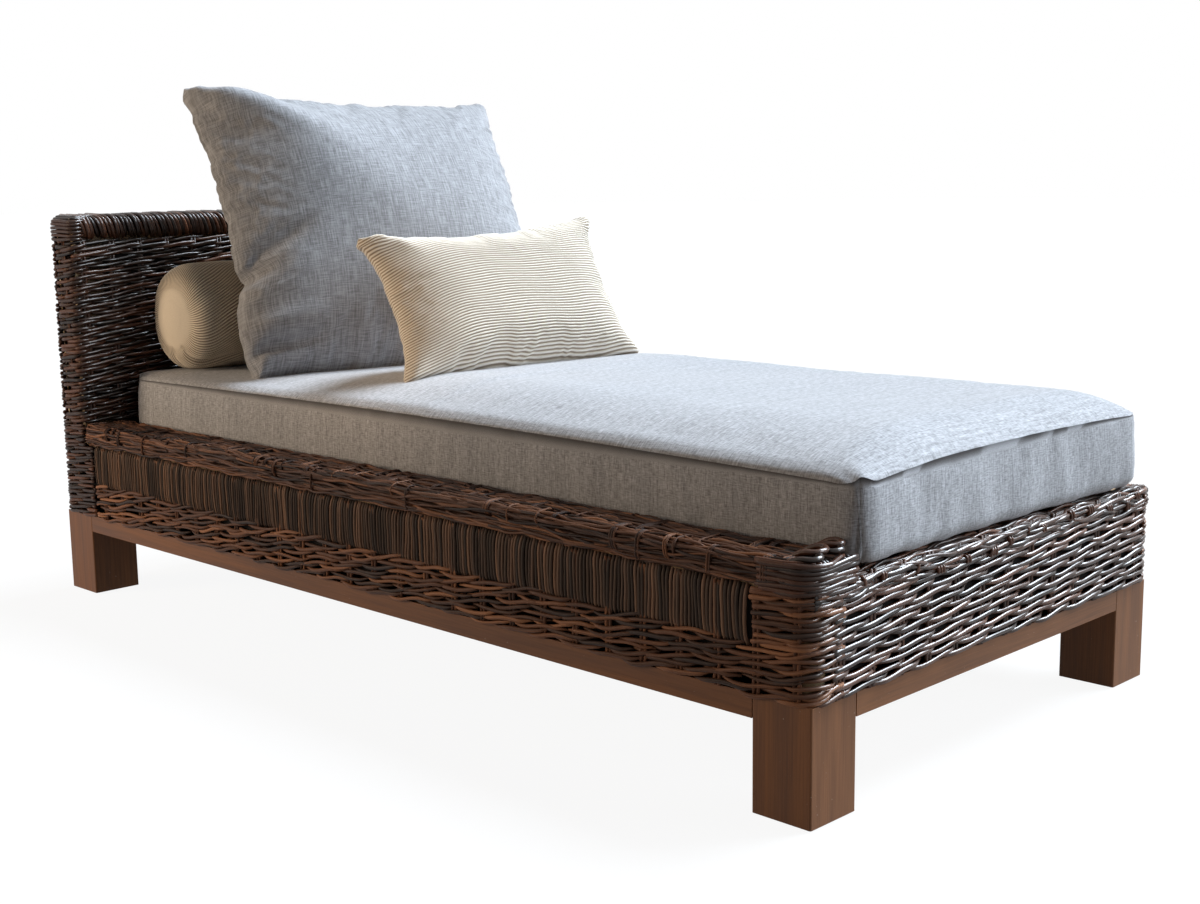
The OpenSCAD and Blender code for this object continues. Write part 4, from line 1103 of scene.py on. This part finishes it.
    def grids(self):
        """The top's grid, the wall's rings and the underside's grid."""
        xs, ys = self.lines(self.half.x - self.SEAM_IN), self.lines(self.half.y - self.SEAM_IN)
        x, y = np.meshgrid(xs, ys, indexing="ij")
        px, py = self.plan(x, y, self.SEAM_IN)
        top = np.stack([px, py, self.top(px, py)], -1)
        ring = rim_of(np.stack([x, y], -1))
        rings = []
        for share in self.WALL_ROWS:
            swell = self.SEAM_IN * (1 - math.sin(math.pi / 2 * min(share * 1.42, 1)) ** 0.8)
            drop = max(0.0, (share * self.SEAM_H - self.SEAM_H + self.BASE_ROUND) / self.BASE_ROUND)
            inset = swell + self.BASE_ROUND * (1 - math.sqrt(1 - drop ** 2))
            rx, ry = self.plan(ring[:, 0], ring[:, 1], inset)
            height = self.seam(rx, ry) - self.low.z
            rings.append(np.stack([rx, ry, self.low.z + (1 - share) * height], -1))
        bx, by = self.plan(x, y, self.BASE_ROUND)
        bottom = np.stack([bx, by, np.full_like(bx, self.low.z)], -1)
        return top, np.array(rings), bottom, ring


MATTRESS = Mattress(*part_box("mattress_cover"))


# Shifts of the mattress's cloth coordinates, which give its walls and its underside threads of their own
WALL_CLOTH, UNDER_CLOTH = 7, 3
LEVEL = np.array([1, 1, 0])


def make_mattress():
    """The padded mattress. Its cloth follows each wall round, and its seam is a little sunk and darkened
    with painted shade.
    """
    top, rings, bottom, ring = MATTRESS.grids()
    nu, nv = top.shape[:2]
    index = np.arange(nu * nv).reshape(nu, nv)
    edge = rim_of(index)
    walls = [edge] + [nu * nv + np.arange(len(edge)) + k * len(edge) for k in range(len(rings) - 2)]
    under = index + walls[-1][-1] + 1
    walls.append(rim_of(under))
    faces = [grid_faces(index, False), grid_faces(under, True)]
    for above, below in zip(walls, walls[1:]):
        faces.append(np.stack([below, np.roll(below, -1), np.roll(above, -1), above], -1))
    faces = np.concatenate(faces)
    points = np.concatenate([top.reshape(-1, 3), rings[1:-1].reshape(-1, 3), bottom.reshape(-1, 3)])

    points = points + mattress_ripples(points, faces, index, np.array(walls))
    points[index, 2] += MATTRESS.sag(points[index, 0], points[index, 1])
    points[index, 2] -= MATTRESS.tucks(points[index, 0], points[index, 1])
    points[:, 2] = np.maximum(points[:, 2], MATTRESS.low.z)

    run = np.concatenate([[0], np.cumsum(np.linalg.norm(np.diff(ring, axis=0), axis=1))])
    cloth = np.concatenate([points[:, :2], np.full((len(points), 1), 0.5)], 1)
    for k, level in enumerate(walls[1:-1]):
        cloth[level] = np.column_stack([run, rings[k + 1][:, 2] + WALL_CLOTH, np.full(len(edge), 0.5)])
    cloth[under.ravel(), 0] += UNDER_CLOTH
    # The seam's points get the darkest tone: a line of painted shade
    cloth[edge, 2] = 0.0
    points[edge] += unit(points[walls[3]] * LEVEL - points[edge] * LEVEL) * -0.8 * MM
    piece = build("mattress", points, faces, TOP_LINEN, "mattress", {"cloth": cloth})
    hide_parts("mattress_cover", "mattress_core")


def mattress_ripples(points, faces, index, walls):
    """Ripples of the blown up cover: round its walls, and on its top beside the seam."""
    shift = np.zeros_like(points)
    uneven = np.random.default_rng(7).normal(0, 0.6 * MM, points.shape)
    moved = blow_up(points + uneven, faces, pressure=4.0, frames=14) - points
    shift[walls] = capped(ripples(moved[walls], 1, 5, loop=True), 1.3 * MM)
    top = moved[index]
    from_low = [points[index, axis] - MATTRESS.low[axis] for axis in (0, 1)]
    from_high = [MATTRESS.high[axis] - points[index, axis] for axis in (0, 1)]
    away = np.minimum.reduce(from_low + from_high)
    near = (np.exp(-(away / (70 * MM)) ** 2) * smooth(away / (24 * MM) - 0.3))[..., None]
    shift[index] = capped((ripples(top, 0, 5) + ripples(top, 1, 5)) * near, 1.4 * MM)
    return shift


RIBS_ROUND = 104
RIB_WINDING = 560
RIB_RELIEF = 3 * MM


def make_bolster():
    """A round bolster with domed ends and ribs that wind round it."""
    low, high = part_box("bolster_cover")
    r = (high.z - low.z) / 2
    cx, cz = (low.x + high.x) / 2, (low.z + high.z) / 2
    edge, dome = 40 * MM, 12 * MM
    length = high.y - low.y
    flat = r - edge
    radial = [(k / 14 * flat, dome * (1 - (k / 14) ** 2)) for k in range(14)]
    bends = np.linspace(0, math.pi / 2, 18)
    rounding = [(flat + edge * math.sin(a), edge * (math.cos(a) - 1)) for a in bends]
    half = length / 2 - dome
    body = np.linspace(-half + edge, half - edge, 200)[1:-1]
    ends = [(rr, -half - zz) for rr, zz in radial + rounding]
    line = ends + [(r, y) for y in body] + [(rr, -y) for rr, y in reversed(ends)]
    around = 640
    angle = np.linspace(0, 2 * math.pi, around + 1)[None, :-1]
    rr, yy = (np.array(c)[:, None] for c in zip(*line))
    centre_y = (low.y + high.y) / 2
    phase = angle * RIBS_ROUND - (yy + half) * RIB_WINDING
    phase = phase + 2.5 * np.sin(yy * 26 + angle * 3) + 1.5 * np.sin(yy * 47 - angle * 5)
    rib = 0.5 + 0.5 * np.cos(phase)
    on_body = smooth((rr - flat * 0.8) / (0.5 * edge))
    out = RIB_RELIEF * (rib - 0.5) * on_body
    # Each fold's start and end as a place along Y and an angle, then its depth and width in mm
    folds = [((-half + 5 * MM, 5.15), (-half + 0.13, 5.75), 10, 12),
             ((-half + 0.04, 4.85), (-half + 0.16, 5.35), 10, 13),
             ((-half - 5 * MM, 4.5), (-half + 0.08, 5.0), 8, 11),
             ((-half, 0.4), (-half + 0.10, 1.2), 3, 14),
             ((half, 4.9), (half - 0.12, 5.4), 8, 8)]
    for (y0, angle0), (y1, angle1), depth, width in folds:
        groove = fold(yy, angle * r, (y0, angle0 * r), (y1, angle1 * r), depth * MM, width * MM)
        out = out - on_body * groove
    swell = 1.6 * np.sin(angle * 3 + yy * 14) + 1.1 * np.sin(angle * 5 - yy * 22 + 1)
    out = out + swell * MM * on_body - 2 * MM
    reach = np.maximum(rr + np.where(rr > flat * 0.5, out, 0), 0)
    grid = np.stack([cx + reach * np.cos(angle), np.broadcast_to(centre_y + yy, reach.shape),
                     cz + reach * np.sin(angle)], -1)
    index = np.arange(len(line) * around).reshape(len(line), around)
    index = np.concatenate([index, index[:, :1]], 1)
    # Low between the ribs: painted shade in the grooves
    tone = rib ** 1.5 * on_body + (1 - on_body) * 0.72
    across = np.where(rr < flat, reach * np.cos(angle), yy)
    along = np.where(rr < flat, reach * np.sin(angle), angle * rr)
    cloth = np.stack([across, along, tone], -1).reshape(-1, 3)
    piece = build("bolster", grid.reshape(-1, 3), grid_faces(index, False), PAINTED_LIT_CREAM,
                  "bolster", {"cloth": cloth})
    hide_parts("bolster_cover", "bolster_core")


make_mattress()
make_bolster()


# Finishes of the CAD pieces

WOOD_X, WOOD_Y, WOOD_Z = (stained_wood("stained_wood_" + "xyz"[k], k) for k in range(3))
FRAME_WOOD = stained_wood("frame_wood", 0, dark=(0.30, 0.19, 0.10), light=(0.52, 0.37, 0.22))
FINISHES = {
    "rail_near": WOOD_X,
    "rail_far": WOOD_X,
    "rail_foot": WOOD_Y,
    "rail_head": WOOD_Y,
    "corner_bolts": plain("bolt_steel", (0.45, 0.45, 0.46), rough=0.35, metal=1.0),
    "floor_glides": plain("glide_plastic", (0.02, 0.02, 0.021), rough=0.5),
}

for node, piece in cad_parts.items():
    if not piece.hide_render:
        piece.data.materials.clear()
        finish = WOOD_Z if node.startswith("leg_") else FINISHES.get(node, FRAME_WOOD)
        piece.data.materials.append(finish)


# Stage and light

WHITE = (1, 1, 1, 1)
FLOOR_REACH = 40
DAYLIGHT = (0.78, 0.89, 1.0)


def make_stage():
    """A floor that looks white but for the shadow, and throws little light back."""
    n = Finish("floor")
    bounce = n.add("BsdfDiffuse", {"Color": (0.135, 0.11, 0.09, 1)})
    pale = n.add("BsdfDiffuse", {"Color": (0.93, 0.93, 0.93, 1)})
    white = n.add("Emission", {"Color": WHITE, "Strength": 1.0})
    shadowed = n.add("MixShader", {0: 0.92, 1: pale.outputs[0], 2: white.outputs[0]})
    both = n.add("MixShader", {0: n.seen(), 1: bounce.outputs[0], 2: shadowed.outputs[0]})
    n.join(both.outputs[0], n.tree.nodes["Material Output"].inputs["Surface"])
    mesh = bpy.data.meshes.new("floor")
    corners_xy = ((-1, -1), (1, -1), (1, 1), (-1, 1))
    mesh.from_pydata([(x * FLOOR_REACH, y * FLOOR_REACH, 0) for x, y in corners_xy], [], [(0, 1, 2, 3)])
    mesh.materials.append(n.material)
    add_object("floor", mesh)


def make_world():
    """White where it is seen, and a faint soft light from all round."""
    world = bpy.data.worlds.new("world")
    bpy.context.scene.world = world
    world.use_nodes = True
    n = Nodes(world.node_tree)
    white = n.add("Background", {"Color": WHITE, "Strength": 1.0})
    soft = n.add("Background", {"Color": (0.97, 0.97, 1.0, 1), "Strength": 0.075})
    mixed = n.add("MixShader", {0: n.seen(), 1: soft.outputs[0], 2: white.outputs[0]})
    n.join(mixed.outputs[0], n.tree.nodes["World Output"].inputs["Surface"])


def make_lamp(name, kind, place, aim, strength, colour, **settings):
    """A lamp at a place, turned to what it lights."""
    light = bpy.data.lights.new(name, kind)
    light.energy, light.color = strength, colour
    for key, value in settings.items():
        setattr(light, key, value)
    lamp = add_object(name, light)
    lamp.location = place
    lamp.rotation_euler = (Vector(place) - Vector(aim)).to_track_quat("Z", "Y").to_euler()
    return lamp


def make_sun(name, way, strength, colour, spread):
    """Broad, soft light from one direction."""
    return make_lamp(name, "SUN", Vector(way) * 4, (0, 0, 0), strength, colour, angle=math.radians(spread))


make_stage()
make_world()
# The two glints add gloss alone, and the window adds none
make_sun("key", (0.16, 0.62, 0.77), 6.6, DAYLIGHT, spread=30)
for name, way, strength in (("glint", (0.42, 0.70, 0.58), 2.4), ("foot_glint", (0.80, 0.30, 0.52), 2.6)):
    make_sun(name, way, strength, (0.84, 0.92, 1.0), spread=28).visible_diffuse = False
make_sun("window", (0.70, 0.66, 0.26), 2.3, DAYLIGHT, spread=44).visible_glossy = False
make_sun("fill", (-0.3, -0.9, 0.25), 0.13, (1.0, 0.79, 0.60), spread=70)
make_lamp("side_lamp", "AREA", (-1.9, -2.2, 0.85), (-0.75, -0.3, 0.5), 33, (1.0, 0.80, 0.58), size=0.8)
make_lamp("warm_lamp", "SPOT", (0.25, -1.5, 1.2), (-0.12, -0.2, 0.62), 28, (1.0, 0.72, 0.46),
          shadow_soft_size=0.15, spot_size=math.radians(26), spot_blend=1.0)
bpy.context.scene.view_settings.view_transform = "Standard"
